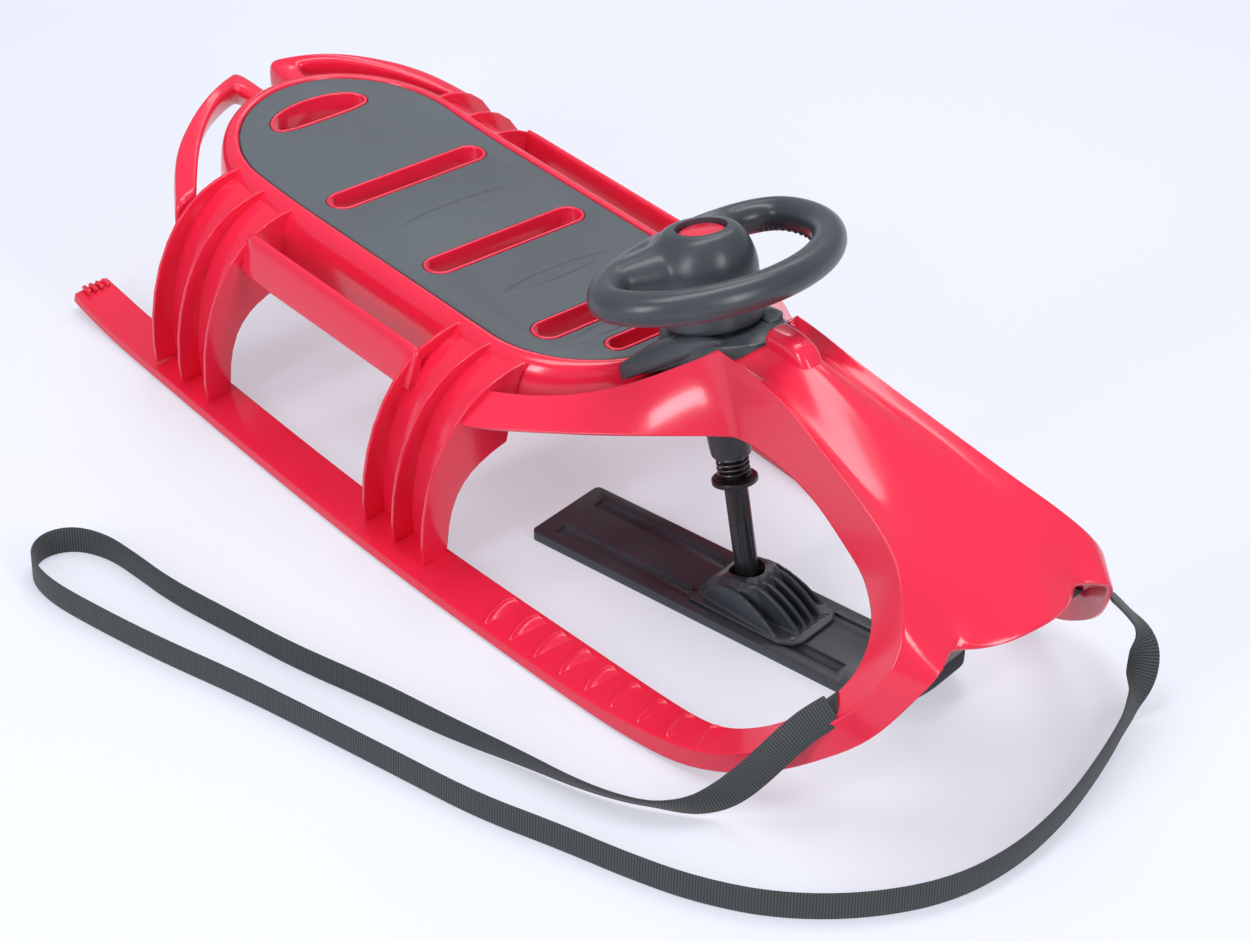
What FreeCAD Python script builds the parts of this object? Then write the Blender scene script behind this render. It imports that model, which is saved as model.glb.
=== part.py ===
import FreeCAD, Part
import math
import os

import Sketcher
from FreeCAD import Placement, Rotation, Vector

# A child's steering sled: moulded body on two runners, raked column, steering ski and pull strap.
# Frame: X forward, Y to the rider's left, Z up, origin under the middle of the body, millimetres.

SIZES = {
    # Fits and small shared values
    "seam": 0.2,
    "running_clearance": 0.08,
    "snug_clearance": 0.05,
    "overrun": 20,
    # Runners
    "half_width": 197,
    "runner_width": 48,
    "runner_top": 14,
    "runner_front": 290,
    "runner_tail": 537,
    "kick_length": 72,
    "kick_rise": 9,
    "rib_first": 86,
    "rib_pitch": 29,
    "rib_chord": 24,
    "rib_rise": 4,
    "rib_count": 7,
    "strip_thick": 2,
    "strip_width": 14,
    "strip_rear": 462,
    "heel_length": 27,
    "heel_lift": 0.5,
    "rivet_radius": 2.5,
    "rivet_length": 9,
    "rivet_recess": 0.4,
    "rivet_pitch": 175,
    # Legs and rails
    "leg_rear_start": 384,
    "leg_front_start": 61,
    "fin_thick": 4,
    "fin_pitch": 41.5,
    "leg_out": 200,
    "leg_straight": 68,
    "leg_shoulder_out": 163,
    "leg_shoulder_height": 162,
    "leg_shoulder_radius": 138,
    "leg_crown_radius": 110,
    "leg_top": 186,
    "leg_under": 115,
    "leg_under_radius": 64,
    "leg_inside": 172,
    "leg_inside_height": 62,
    "web_depth": 25,
    "web_thick": 4,
    "web_flange": 25,
    "rail_inner": 142,
    "rail_inner_height": 178,
    "rail_outer": 167,
    "rail_outer_height": 155,
    "rail_thick": 9,
    # Seat
    "seat_height": 206,
    "seat_thick": 30,
    "seat_rear_centre": 336,
    "seat_front_centre": 2,
    "seat_rise_start": 250,
    "seat_rise_radius": 1250,
    "seat_rise_span": 260,
    "pad_half": 105,
    "pad_thick": 4,
    "rim_width": 18,
    "slot_width": 24,
    "slot_half": 83,
    "slot_collar": 3,
    "slot_rear": 258,
    "slot_middle": 117,
    "slot_front": 22,
    "slot_front_half": 76,
    "slot_small": 74,
    "slot_small_half": 40,
    "slot_small_width": 16,
    "hand_hole_front": 384,
    "hand_hole_half": 52,
    "hand_hole_depth": 28,
    # Rear hand loops
    "loop_reach": 119,
    "loop_height": 213,
    "loop_depth": 17,
    "loop_band": 20,
    "loop_gap_half": 12,
    # Nose
    "nose_reach": 229,
    "nose_height": "=seat_height * 178 / 206",
    "curl_wall": 5,
    "hood_start": 205,
    "hood_reach": 235,
    "hood_half": 71,
    "hood_height": "=seat_height * 266 / 206",
    "hood_wall": 4,
    "tongue_reach": 97,
    "tongue_half": 66,
    "tongue_height": "=seat_height * 213 / 206",
    "block_start": 252,
    "block_length": 40,
    "block_half": 18,
    "block_height": "=seat_height * 284 / 206",
    "arm_reach": 207,
    "arm_height": "=seat_height * 268 / 206",
    "arm_thick": 5,
    # Neck and console
    "neck_half": 60,
    "neck_floor": "=seat_height * 186 / 206",
    "console_start": 98,
    "console_length": 110,
    "console_half": 58,
    "console_rise": 56,
    "console_thick": 7,
    # Steering column, heights measured along its axis
    "column_foot": 221.1,
    "column_rake": 14.5,
    "steer_rest": 10.5,
    "tube_radius": 20,
    "tube_nose_radius": 16.4,
    "tube_start": "=seat_height * 155 / 206",
    "tube_taper": 23,
    "tube_end": "=seat_height * 300 / 206",
    "tube_bore_end": "=seat_height * 250 / 206",
    "boss_radius": 30,
    "boss_start": "=seat_height * 188 / 206",
    "boss_end": "=seat_height * 262 / 206",
    "washer_thick": 3,
    "ring_thick": 3,
    "ring_radius": 27,
    "hub_waist": 44,
    "hub_waist_height": "=seat_height * 304 / 206",
    "hub_crown": 30,
    "hub_top": "=seat_height * 345 / 206",
    "hub_web": 20,
    "rim_radius": 116,
    "rim_tube": 15,
    "rim_height": "=seat_height * 318 / 206",
    "rim_corner": 34,
    "rim_back": 52,
    "bolt_radius": 4,
    "bolt_head_radius": 7,
    "bolt_head": 6,
    "bolt_depth": 15,
    "button_radius": 20.6,
    "button_gap": 0.4,
    "button_thick": 9,
    "button_sink": 3,
    "button_spring_radius": 12,
    "button_spring_wire": 1.2,
    "button_spring_turns": 3,
    "shaft_radius": 10,
    "shaft_start": 20,
    "shaft_end": "=seat_height * 225 / 206",
    "flute_radius": 2,
    "flute_count": 6,
    "flange_radius": 19.7,
    "flange_start": "=seat_height * 120 / 206",
    "flange_thick": 5,
    "spring_radius": 12.7,
    "spring_wire": 2.2,
    "spring_turns": 4,
    # Steering ski
    "pivot_height": 30,
    "pin_radius": 4,
    "pin_half": 24,
    "ski_rear": 201,
    "ski_bend": 130,
    "ski_half": 45,
    "ski_thick": 9,
    "ski_tip_radius": 110,
    "ski_tip_angle": 42,
    "ski_corner": 30,
    "ski_rear_corner": 5,
    "groove_rear": 184,
    "groove_front": 118,
    "groove_offset": 26,
    "groove_width": 14,
    "groove_depth": 2.5,
    "foot_rear": 45,
    "foot_front": 80,
    "foot_half": 40,
    "foot_base": 5,
    "foot_top": 50,
    "socket_centre": 5,
    "socket_straight": 8.5,
    "socket_radius": 13.5,
    "socket_floor": 13,
    "housing_wall": 9,
    "foot_rib_thick": 6,
    "foot_rib_pitch": 16,
    "foot_rib_count": 5,
    "foot_rib_shoulder": 26,
    "foot_rib_crest": 8,
    "foot_rib_radius": 90,
    "foot_rib_rear_height": 45,
    "screw_radius": 2.5,
    "screw_length": 12,
    "screw_recess": 1,
    "screw_rear": 38,
    "screw_front": 66,
    "screw_offset": 24,
    # Pull strap
    "strap_width": 26,
    "strap_thick": 3,
    "drape_lift": 3,
    "loop_room": 2,
    "loop_thick": 2,
}

doc = FreeCAD.newDocument("steering_sled")
sheet = doc.addObject("Spreadsheet::Sheet", "Sizes")
for row, (alias, number) in enumerate(SIZES.items(), start=1):
    cell = "A%d" % row
    sheet.set(cell, str(number))
    sheet.setAlias(cell, alias)
doc.recompute()

nodes = []


def size(alias):
    """Number behind a name on the sheet."""
    return float(sheet.get(alias))


def value(expression):
    """Number that an expression of sheet names works out to."""
    result = sheet.evalExpression(expression)
    return float(getattr(result, "Value", result))


def node(item, label):
    """Keep a document object as a finished sub-part under its own name."""
    item.Label = label
    nodes.append(item)
    return item


def plane(body, role):
    """Origin plane or axis of a body, found by its role."""
    for feature in body.Origin.OriginFeatures:
        if feature.Role == role:
            return feature
    raise ValueError(role)


def new_body(name):
    """Empty body."""
    return doc.addObject("PartDesign::Body", name)


def arc_centre(first, second, radius, side):
    """Centre of the arc from first to second, to the left of the way along for side 1."""
    middle = (first + second) * 0.5
    half = (second - first) * 0.5
    rise = math.sqrt(max(radius * radius - half.Length * half.Length, 0))
    left = Vector(-half.y, half.x, 0).normalize()
    return middle + left * (rise * side)


def add_loop(sketch, corners):
    """Closed outline: each corner is (x, y) for a line on to the next, or (x, y, radius, side) for an arc."""
    places = [Vector(value(corner[0]), value(corner[1]), 0) for corner in corners]
    starts = []
    ends = []
    first = sketch.GeometryCount
    for index, corner in enumerate(corners):
        here = places[index]
        there = places[(index + 1) % len(corners)]
        if len(corner) == 2:
            sketch.addGeometry(Part.LineSegment(here, there), False)
            starts.append(1)
            ends.append(2)
            continue
        radius = value(corner[2])
        centre = arc_centre(here, there, radius, corner[3])
        turn_here = math.atan2(here.y - centre.y, here.x - centre.x)
        turn_there = math.atan2(there.y - centre.y, there.x - centre.x)
        circle = Part.Circle(centre, Vector(0, 0, 1), radius)
        if corner[3] > 0:
            sketch.addGeometry(Part.ArcOfCircle(circle, turn_here, turn_there), False)
        else:
            sketch.addGeometry(Part.ArcOfCircle(circle, turn_there, turn_here), False)
        starts.append(1 if corner[3] > 0 else 2)
        ends.append(2 if corner[3] > 0 else 1)
    for index, corner in enumerate(corners):
        this = first + index
        following = first + (index + 1) % len(corners)
        follow_start = starts[(index + 1) % len(corners)]
        sketch.addConstraint(Sketcher.Constraint("Coincident", this, ends[index], following, follow_start))
    for index, corner in enumerate(corners):
        this = first + index
        bind_place(sketch, this, starts[index], "DistanceX", corner[0], -2)
        bind_place(sketch, this, starts[index], "DistanceY", corner[1], -1)
        if len(corner) > 2:
            number = sketch.addConstraint(Sketcher.Constraint("Radius", this, value(corner[2])))
            sketch.setExpression("Constraints[%d]" % number, corner[2])


def bind_place(sketch, geometry, end, kind, expression, axis):
    """Tie one coordinate of a sketch point to the sheet, or to an axis where it is zero."""
    if expression == "0":
        sketch.addConstraint(Sketcher.Constraint("PointOnObject", geometry, end, axis))
        return
    number = sketch.addConstraint(Sketcher.Constraint(kind, -1, 1, geometry, end, value(expression)))
    sketch.setExpression("Constraints[%d]" % number, expression)


def sketch_on(body, role, *loops, offset=None):
    """Sketch of closed outlines on one of a body's own planes, moved along its normal by an offset."""
    sketch = body.newObject("Sketcher::SketchObject", body.Name + "_outline")
    sketch.AttachmentSupport = [(plane(body, role), "")]
    sketch.MapMode = "FlatFace"
    if offset:
        sketch.setExpression("AttachmentOffset.Base.z", offset)
    for loop in loops:
        add_loop(sketch, loop)
    doc.recompute()
    return sketch


def pad(body, sketch, length, both=False):
    """Extrude a sketch, to one side or evenly to both."""
    feature = body.newObject("PartDesign::Pad", body.Name + "_pad")
    feature.Profile = sketch
    feature.setExpression("Length", length)
    feature.Midplane = both
    doc.recompute()
    return feature


def pocket(body, sketch):
    """Cut a sketch right through, both ways."""
    before = body.Shape.Volume
    feature = body.newObject("PartDesign::Pocket", body.Name + "_cut")
    feature.Profile = sketch
    feature.Type = 1
    feature.Midplane = True
    doc.recompute()
    if body.Shape.Volume >= before:
        raise ValueError("nothing cut from " + body.Name)
    return feature


def revolve(body, sketch):
    """Turn a profile fully about the body's own upright axis."""
    feature = body.newObject("PartDesign::Revolution", body.Name + "_turned")
    feature.Profile = sketch
    feature.ReferenceAxis = (sketch, ["V_Axis"])
    feature.Angle = 360
    doc.recompute()
    return feature


def pattern(body, feature, role, length, count):
    """Row of copies of a feature along one of the body's own axes."""
    row = body.newObject("PartDesign::LinearPattern", body.Name + "_row")
    row.Originals = [feature]
    row.Direction = (plane(body, role), [""])
    row.setExpression("Length", length)
    row.setExpression("Occurrences", count)
    body.Tip = row
    doc.recompute()
    return row


def mirrored(item, label):
    """Left-hand twin of a right-hand sub-part."""
    twin = doc.addObject("Part::Mirroring", label)
    twin.Source = item
    twin.Normal = Vector(0, 1, 0)
    return node(twin, label)


def pair(item, name):
    """Right-hand sub-part and its left-hand twin."""
    node(item, name + "_right")
    mirrored(item, name + "_left")


def cut(base, tool, label):
    """One object with another taken away."""
    item = doc.addObject("Part::Cut", label)
    item.Base = base
    item.Tool = tool
    doc.recompute()
    return item


def solid_part(shape, label, placement=None):
    """Sub-part from a ready shape; its place is set after the shape."""
    item = doc.addObject("Part::Feature", label)
    item.Shape = shape
    if placement:
        item.Placement = placement
    return node(item, label)


def cylinder(name, radius, height, place, axis=None):
    """Upright or turned cylinder bound to the sheet; place is three expressions."""
    item = doc.addObject("Part::Cylinder", name)
    item.setExpression("Radius", radius)
    item.setExpression("Height", height)
    if axis:
        item.Placement = Placement(Vector(0, 0, 0), axis)
    for letter, expression in zip("xyz", place):
        item.setExpression("Placement.Base." + letter, expression)
    return item


def box(name, sides, place):
    """Box bound to the sheet; sides and place are three expressions each."""
    item = doc.addObject("Part::Box", name)
    for side, expression in zip(("Length", "Width", "Height"), sides):
        item.setExpression(side, expression)
    for letter, expression in zip("xyz", place):
        item.setExpression("Placement.Base." + letter, expression)
    return item


def group(items, label):
    """Separate solids kept together in one object."""
    item = doc.addObject("Part::Compound", label)
    item.Links = items
    doc.recompute()
    return item


def largest(shape):
    """Biggest solid of a trimmed shape."""
    return max(shape.Solids, key=lambda solid: solid.Volume)


def closed_wire(points):
    """Closed polygon through points."""
    return Part.makePolygon(list(points) + [points[0]])


def loft(rings):
    """Smooth closed solid through closed polygons."""
    shape = Part.makeLoft([closed_wire(ring) for ring in rings], True, False)
    return shape if shape.Volume > 0 else shape.reversed()


def flipped(shape):
    """Shape mirrored to the other side."""
    return shape.mirror(Vector(0, 0, 0), Vector(0, 1, 0))


def tangent_arc(start, corner, end):
    """Arc from start to end, whose end tangents meet at the corner."""
    middle = (start + end) * 0.5
    half = (end - start).Length * 0.5
    lift = corner - middle
    bow = half * math.tan(math.atan2(lift.Length, half) * 0.5)
    return Part.Arc(start, middle + lift.normalize() * bow, end).toShape()


# Steering frames
rake_turn = Rotation(Vector(0, 1, 0), -size("column_rake"))
column_frame = Placement(
    Vector(size("column_foot"), 0, 0),
    rake_turn.multiply(Rotation(Vector(0, 0, 1), size("steer_rest"))),
)
lean = math.tan(math.radians(size("column_rake")))
pivot_x = size("column_foot") - lean * size("pivot_height")
ski_frame = Placement(Vector(pivot_x, 0, 0), Rotation(Vector(0, 0, 1), size("steer_rest")))


# Seat pad and deck

SEAT_RISE = "(seat_rise_radius - sqrt(seat_rise_radius^2 - seat_rise_span^2))"


def on_sheet(expression):
    """Expression with each sheet name given its sheet."""
    words = sorted(SIZES, key=len, reverse=True)
    result = ""
    index = 0
    while index < len(expression):
        for word in words:
            if expression.startswith(word, index) and not expression[index - 1:index].isalpha():
                result += "Sizes." + word
                index += len(word)
                break
        else:
            result += expression[index]
            index += 1
    return result


def corners(*items):
    """Outline corners written with plain sheet names."""
    return [tuple(on_sheet(part) if isinstance(part, str) else part for part in item) for item in items]


def stadium(rear, front, half):
    """Long outline with round ends, along X; rear and front are the end centres."""
    return corners(
        (rear, "-(%s)" % half),
        (front, "-(%s)" % half, half, 1),
        ("%s + %s" % (front, half), "0", half, 1),
        (front, half),
        (rear, half, half, 1),
        ("%s - (%s)" % (rear, half), "0", half, 1),
    )


def cross_slot(middle, half, width):
    """Outline of a slot across the seat with round ends."""
    reach = "(%s - (%s) / 2)" % (half, width)
    radius = "(%s) / 2" % width
    return corners(
        ("%s - %s" % (middle, radius), reach),
        ("%s - %s" % (middle, radius), "-" + reach, radius, 1),
        (middle, "-(%s)" % half, radius, 1),
        ("%s + %s" % (middle, radius), "-" + reach),
        ("%s + %s" % (middle, radius), reach, radius, 1),
        (middle, half, radius, 1),
    )


def hand_hole(grow):
    """Outline of the curved hand hole behind the seat."""
    front = "-hand_hole_front + %s" % grow
    half = "hand_hole_half + %s" % grow
    rear = "-hand_hole_front - hand_hole_depth - %s" % grow
    depth = "(hand_hole_depth + 2 * %s)" % grow
    bow = "((%s)^2 + %s^2) / (2 * %s)" % (half, depth, depth)
    return corners(
        (front, half, bow, 1),
        (rear, "0", bow, 1),
        (front, "-(%s)" % half),
    )


def seat_slots(grow):
    """All the openings through the seat, wider by a collar where it is given."""
    wide = "slot_width + 2 * %s" % grow
    return [
        cross_slot("-slot_rear", "slot_half + %s" % grow, wide),
        cross_slot("-slot_middle", "slot_half + %s" % grow, wide),
        cross_slot("slot_front", "slot_front_half + %s" % grow, wide),
        cross_slot("slot_small", "slot_small_half + %s" % grow, "slot_small_width + 2 * %s" % grow),
        hand_hole(grow),
    ]


def seat_layer(name, half, top, bottom, grow):
    """Seat outline between two heights that both rise along the tail of the seat."""
    body = new_body(name)
    outline = stadium("-seat_rear_centre", "-seat_front_centre", half)
    pad(body, sketch_on(body, "XY_Plane", outline), on_sheet("seat_height + %s + overrun" % SEAT_RISE))
    front = "seat_rear_centre"
    rear = "-(seat_rise_start + seat_rise_span)"
    start = "-seat_rise_start"
    over = "seat_height + %s + overrun * 2" % SEAT_RISE
    above = corners(
        (front, top),
        (front, over),
        (rear, over),
        (rear, "%s + %s" % (top, SEAT_RISE), "seat_rise_radius", 1),
        (start, top),
    )
    under = corners(
        (front, "-overrun"),
        (front, bottom),
        (start, bottom, "seat_rise_radius", -1),
        (rear, "%s + %s" % (bottom, SEAT_RISE)),
        (rear, "-overrun"),
    )
    pocket(body, sketch_on(body, "XZ_Plane", above))
    pocket(body, sketch_on(body, "XZ_Plane", under))
    pocket(body, sketch_on(body, "XY_Plane", *seat_slots(grow)))
    return body


seat_pad = node(
    seat_layer("seat_pad", "pad_half", "seat_height", "(seat_height - pad_thick)", "slot_collar"), "seat_pad"
)
deck_blank = seat_layer(
    "deck_blank", "(pad_half + rim_width)", "seat_height", "(seat_height - seat_thick)", "0"
)
node(cut(deck_blank, seat_pad, "deck_with_recess"), "seat_deck")

# Legs with three fins on a web, and the rails between them
DECK_SIDE = "(pad_half + rim_width + seam)"

FIN = corners(
    ("-leg_out", "runner_top + seam"),
    ("-leg_inside", "runner_top + seam"),
    ("-leg_inside", "leg_inside_height", "leg_under_radius", -1),
    ("-" + DECK_SIDE, "leg_under"),
    ("-" + DECK_SIDE, "leg_top", "leg_crown_radius", 1),
    ("-leg_shoulder_out", "leg_shoulder_height", "leg_shoulder_radius", 1),
    ("-leg_out", "leg_straight"),
)

WEB = corners(
    ("-(leg_inside + web_thick)", "runner_top + seam"),
    ("-leg_inside", "runner_top + seam"),
    ("-leg_inside", "leg_inside_height"),
    ("-(leg_shoulder_out - web_depth)", "leg_shoulder_height - web_depth - web_thick"),
    ("-" + DECK_SIDE, "leg_top - web_depth - web_thick"),
    ("-" + DECK_SIDE, "leg_top - web_depth"),
    ("-(leg_shoulder_out - web_depth + web_thick)", "leg_shoulder_height - web_depth"),
    ("-(leg_inside + web_thick)", "leg_straight"),
)


def leg(name, start):
    """Right-hand leg whose first fin starts at a place along X."""
    body = new_body(name)
    length = on_sheet("2 * fin_pitch + fin_thick + web_flange")
    pad(body, sketch_on(body, "YZ_Plane", WEB), length)
    fin = pad(body, sketch_on(body, "YZ_Plane", FIN), on_sheet("fin_thick"))
    pattern(body, fin, "X_Axis", on_sheet("2 * fin_pitch"), "3")
    body.setExpression("Placement.Base.x", on_sheet(start))
    pair(body, name)


leg("leg_rear", "-leg_rear_start")
leg("leg_front", "-leg_front_start")

LEG_DEPTH = "2 * fin_pitch + fin_thick"
rail = new_body("rail")
rail_slope = "sqrt((rail_outer - rail_inner)^2 + (rail_inner_height - rail_outer_height)^2)"
rail_in = "rail_thick * (rail_inner_height - rail_outer_height) / " + rail_slope
rail_down = "rail_thick * (rail_outer - rail_inner) / " + rail_slope
rail_section = corners(
    ("-rail_inner", "rail_inner_height"),
    ("-rail_outer", "rail_outer_height"),
    ("-(rail_outer - %s)" % rail_in, "rail_outer_height - " + rail_down),
    ("-(rail_inner - %s)" % rail_in, "rail_inner_height - " + rail_down),
)
pad(
    rail,
    sketch_on(rail, "YZ_Plane", rail_section),
    on_sheet("leg_rear_start - leg_front_start - (%s) - 2 * seam" % LEG_DEPTH),
)
rail.setExpression("Placement.Base.x", on_sheet("-leg_rear_start + %s + seam" % LEG_DEPTH))
pair(rail, "rail")

# Runners, steel strips, rivets and heels
RUNNER_Y = "-(half_width - runner_width / 2)"

runner = new_body("runner")
runner_side = corners(
    ("runner_front", "strip_thick"),
    ("runner_front", "runner_top"),
    ("-(runner_tail - kick_length)", "runner_top"),
    ("-runner_tail", "runner_top + kick_rise"),
    ("-runner_tail", "strip_thick + kick_rise"),
    ("-(runner_tail - kick_length)", "strip_thick"),
)
pad(runner, sketch_on(runner, "XZ_Plane", runner_side), on_sheet("runner_width"), True)
rib_radius = "((rib_chord / 2)^2 + rib_rise^2) / (2 * rib_rise)"
rib_side = corners(
    ("rib_first", "runner_top"),
    ("rib_first + rib_chord", "runner_top", rib_radius, 1),
    ("rib_first + rib_chord / 2", "runner_top + rib_rise", rib_radius, 1),
)
rib = pad(runner, sketch_on(runner, "XZ_Plane", rib_side), on_sheet("runner_width - 2 * web_thick"), True)
pattern(runner, rib, "X_Axis", on_sheet("rib_pitch * (rib_count - 1)"), on_sheet("rib_count"))
runner.setExpression("Placement.Base.y", on_sheet(RUNNER_Y))

strip_blank = box(
    "strip_blank",
    (on_sheet("strip_rear + runner_front"), on_sheet("strip_width"), on_sheet("strip_thick")),
    (on_sheet("-strip_rear"), on_sheet(RUNNER_Y + " - strip_width / 2"), "0"),
)

RIVET_STEPS = (-2, -1, 0, 1)
rivets = []
rivet_holes = []
for step in RIVET_STEPS:
    middle = "(runner_front - strip_rear) / 2 + rivet_pitch / 2 + rivet_pitch * (%d)" % step
    place = (on_sheet(middle), on_sheet(RUNNER_Y), on_sheet("rivet_recess"))
    hole_place = (on_sheet(middle), on_sheet(RUNNER_Y), on_sheet("-overrun"))
    rivets.append(cylinder("rivet", on_sheet("rivet_radius"), on_sheet("rivet_length"), place))
    rivet_holes.append(
        cylinder(
            "rivet_hole",
            on_sheet("rivet_radius + snug_clearance"),
            on_sheet("rivet_length + rivet_recess + overrun + seam"),
            hole_place,
        )
    )
rivet_row = group(rivets, "rivet_row")
hole_row = group(rivet_holes, "hole_row")
pair(cut(runner, hole_row, "runner_drilled"), "runner")
pair(cut(strip_blank, hole_row, "strip_drilled"), "runner_strip")
far_rivets = doc.addObject("Part::Mirroring", "far_rivets")
far_rivets.Source = rivet_row
far_rivets.Normal = Vector(0, 1, 0)
node(group([rivet_row, far_rivets], "all_rivets"), "strip_rivets")

heel = new_body("heel")
heel_front = "-(runner_tail - kick_length)"
heel_side = corners(
    (heel_front, "heel_lift"),
    (heel_front, "strip_thick - seam"),
    (heel_front + " - heel_length", "strip_thick - seam + kick_rise * heel_length / kick_length"),
    (heel_front + " - heel_length", "heel_lift + kick_rise * heel_length / kick_length / 2"),
)
pad(heel, sketch_on(heel, "XZ_Plane", heel_side), on_sheet("strip_width"), True)
heel.setExpression("Placement.Base.y", on_sheet(RUNNER_Y))
pair(heel, "runner_heel")

# Rear hand loops: shares of the loop's reach, the leg's rail and the loop's height
LOOP_OUTER_SHARES = ((0.0, 0.99, 0.742), (0.30, 0.875, 0.883), (0.68, 0.505, 0.990), (1.0, 0.072, 1.0))
LOOP_INNER_SHARES = ((0.0, 0.85, 0.835), (0.19, 0.785, 0.925), (0.54, 0.440, 1.0), (0.832, 0.072, 1.005))


def loop_point(shares):
    """Place on a rear hand loop from its shares."""
    along, out, up = shares
    start = size("leg_rear_start") + size("seam")
    return Vector(-start - along * size("loop_reach"), -out * size("rail_outer"), up * size("loop_height"))


loop_rings = []
drop = Vector(0, 0, -size("loop_depth"))
for outer_shares, inner_shares in zip(LOOP_OUTER_SHARES, LOOP_INNER_SHARES):
    outer = loop_point(outer_shares)
    inner = loop_point(inner_shares)
    loop_rings.append((outer, inner, inner + drop, outer + drop))
loop_bar = Part.makeBox(
    size("loop_reach"),
    size("loop_band"),
    size("loop_depth"),
    Vector(
        -size("leg_rear_start") - size("loop_reach") + size("loop_band"),
        -size("loop_gap_half") - size("loop_band"),
        size("loop_height") - size("loop_depth"),
    ),
)
loop_bar = loop_bar.cut(
    Part.makeCylinder(
        size("pad_half") + size("rim_width") + size("seam"),
        size("seat_height") * 2,
        Vector(-size("seat_rear_centre"), 0, 0),
    )
)
loop_bar = min(loop_bar.Solids, key=lambda solid: solid.CenterOfMass.x)
loop_shape = largest(loft(loop_rings).fuse(loop_bar).removeSplitter())
solid_part(loop_shape, "rear_handle_right")
solid_part(flipped(loop_shape), "rear_handle_left")

# Hood: shares of its reach, half width and height, for the ridge and for the lower edge of the side wall
HOOD_SHARES = (
    (0.0, 0.634, 1.0, 0.648, 0.752),
    (0.149, 0.592, 1.0, 0.648, 0.759),
    (0.285, 0.577, 0.985, 0.648, 0.767),
    (0.566, 0.718, 0.925, 0.775, 0.752),
    (0.817, 0.859, 0.872, 0.901, 0.665),
    (1.0, 1.0, 0.820, 1.099, 0.564),
)
# Tongue: shares of its reach, half width and height, for the middle and for the edge
TONGUE_SHARES = (
    (-0.1, 1.0, 1.02, 1.0),
    (0.36, 0.97, 0.930, 0.900),
    (0.67, 0.98, 0.868, 0.770),
    (0.876, 0.68, 0.826, 0.775),
    (1.0, 0.18, 0.798, 0.789),
)


def hood_ring(shares):
    """Section of the hood: an open channel, mouth down."""
    along, ridge_out, ridge_up, edge_out, edge_up = shares
    x = size("hood_start") + along * size("hood_reach")
    ridge_y = ridge_out * size("hood_half")
    ridge_z = ridge_up * size("hood_height")
    edge_y = edge_out * size("hood_half")
    edge_z = edge_up * size("hood_height")
    wall = size("hood_wall")
    return (
        Vector(x, -edge_y, edge_z),
        Vector(x, -ridge_y, ridge_z),
        Vector(x, ridge_y, ridge_z),
        Vector(x, edge_y, edge_z),
        Vector(x, edge_y - wall, edge_z),
        Vector(x, ridge_y - wall, ridge_z - wall),
        Vector(x, wall - ridge_y, ridge_z - wall),
        Vector(x, wall - edge_y, edge_z),
    )


def tongue_ring(shares):
    """Section of the tongue: a domed plate."""
    along, out, middle_up, edge_up = shares
    x = size("hood_start") + size("hood_reach") + along * size("tongue_reach")
    y = out * size("tongue_half")
    middle = middle_up * size("tongue_height")
    edge = edge_up * size("tongue_height")
    wall = size("hood_wall")
    return (
        Vector(x, -y, edge),
        Vector(x, 0, middle),
        Vector(x, y, edge),
        Vector(x, y, edge - wall),
        Vector(x, 0, middle - wall),
        Vector(x, -y, edge - wall),
    )


hood_shell = loft([hood_ring(shares) for shares in HOOD_SHARES])
tongue = loft([tongue_ring(shares) for shares in TONGUE_SHARES])
block = Part.makeBox(
    size("block_length"),
    size("block_half") * 2,
    size("block_height") - size("hood_height") + size("hood_wall") * 3,
    Vector(size("block_start"), -size("block_half"), size("hood_height") - size("hood_wall") * 3),
)
hood_shape = hood_shell.fuse([tongue, block]).removeSplitter()
hood_shape = largest(hood_shape)
solid_part(hood_shape, "hood")

# Curled front bands: shares of the nose's reach, half width and nose height
RIDGE_SHARES = (
    (0.0, 0.995, 0.079), (0.218, 0.954, 0.107), (0.463, 0.868, 0.230), (0.655, 0.772, 0.438),
    (0.80, 0.685, 0.629), (0.904, 0.609, 0.843), (0.873, 0.528, 1.011), (0.795, 0.437, 1.124),
    (0.655, 0.360, 1.225),
)
FRONT_SHARES = (
    (0.0, 0.995, 0.011), (0.218, 0.954, 0.020), (0.480, 0.863, 0.140), (0.699, 0.746, 0.326),
    (0.852, 0.650, 0.494), (0.965, 0.528, 0.787), (1.0, 0.447, 1.0), (0.93, 0.360, 1.073),
    (0.751, 0.270, 1.169),
)
INSIDE_SHARES = (
    (0.0, 0.756, 0.079), (0.210, 0.741, 0.118), (0.393, 0.706, 0.242), (0.546, 0.675, 0.410),
    (0.677, 0.640, 0.596), (0.720, 0.569, 0.764), (0.694, 0.482, 0.860), (0.620, 0.410, 0.921),
    (0.502, 0.325, 0.966),
)


def nose_point(shares):
    """Place on the right-hand front band from its shares."""
    along, out, up = shares
    x = size("runner_front") + size("seam") + along * size("nose_reach")
    return Vector(x, -out * size("half_width"), up * size("nose_height"))


def band_ring(index):
    """L-shaped section of the front band: ridge, front edge and inside edge, with walls."""
    ridge = nose_point(RIDGE_SHARES[index])
    front = nose_point(FRONT_SHARES[index])
    inside = nose_point(INSIDE_SHARES[index])
    to_front = (front - ridge).normalize() * size("curl_wall")
    to_inside = (inside - ridge).normalize() * size("curl_wall")
    return (ridge, front, front + to_inside, ridge + to_front + to_inside, inside + to_front, inside)


band = loft([band_ring(index) for index in range(len(RIDGE_SHARES))])
band = largest(band.cut(hood_shape))
solid_part(band, "curl_right")
solid_part(flipped(band), "curl_left")

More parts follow.
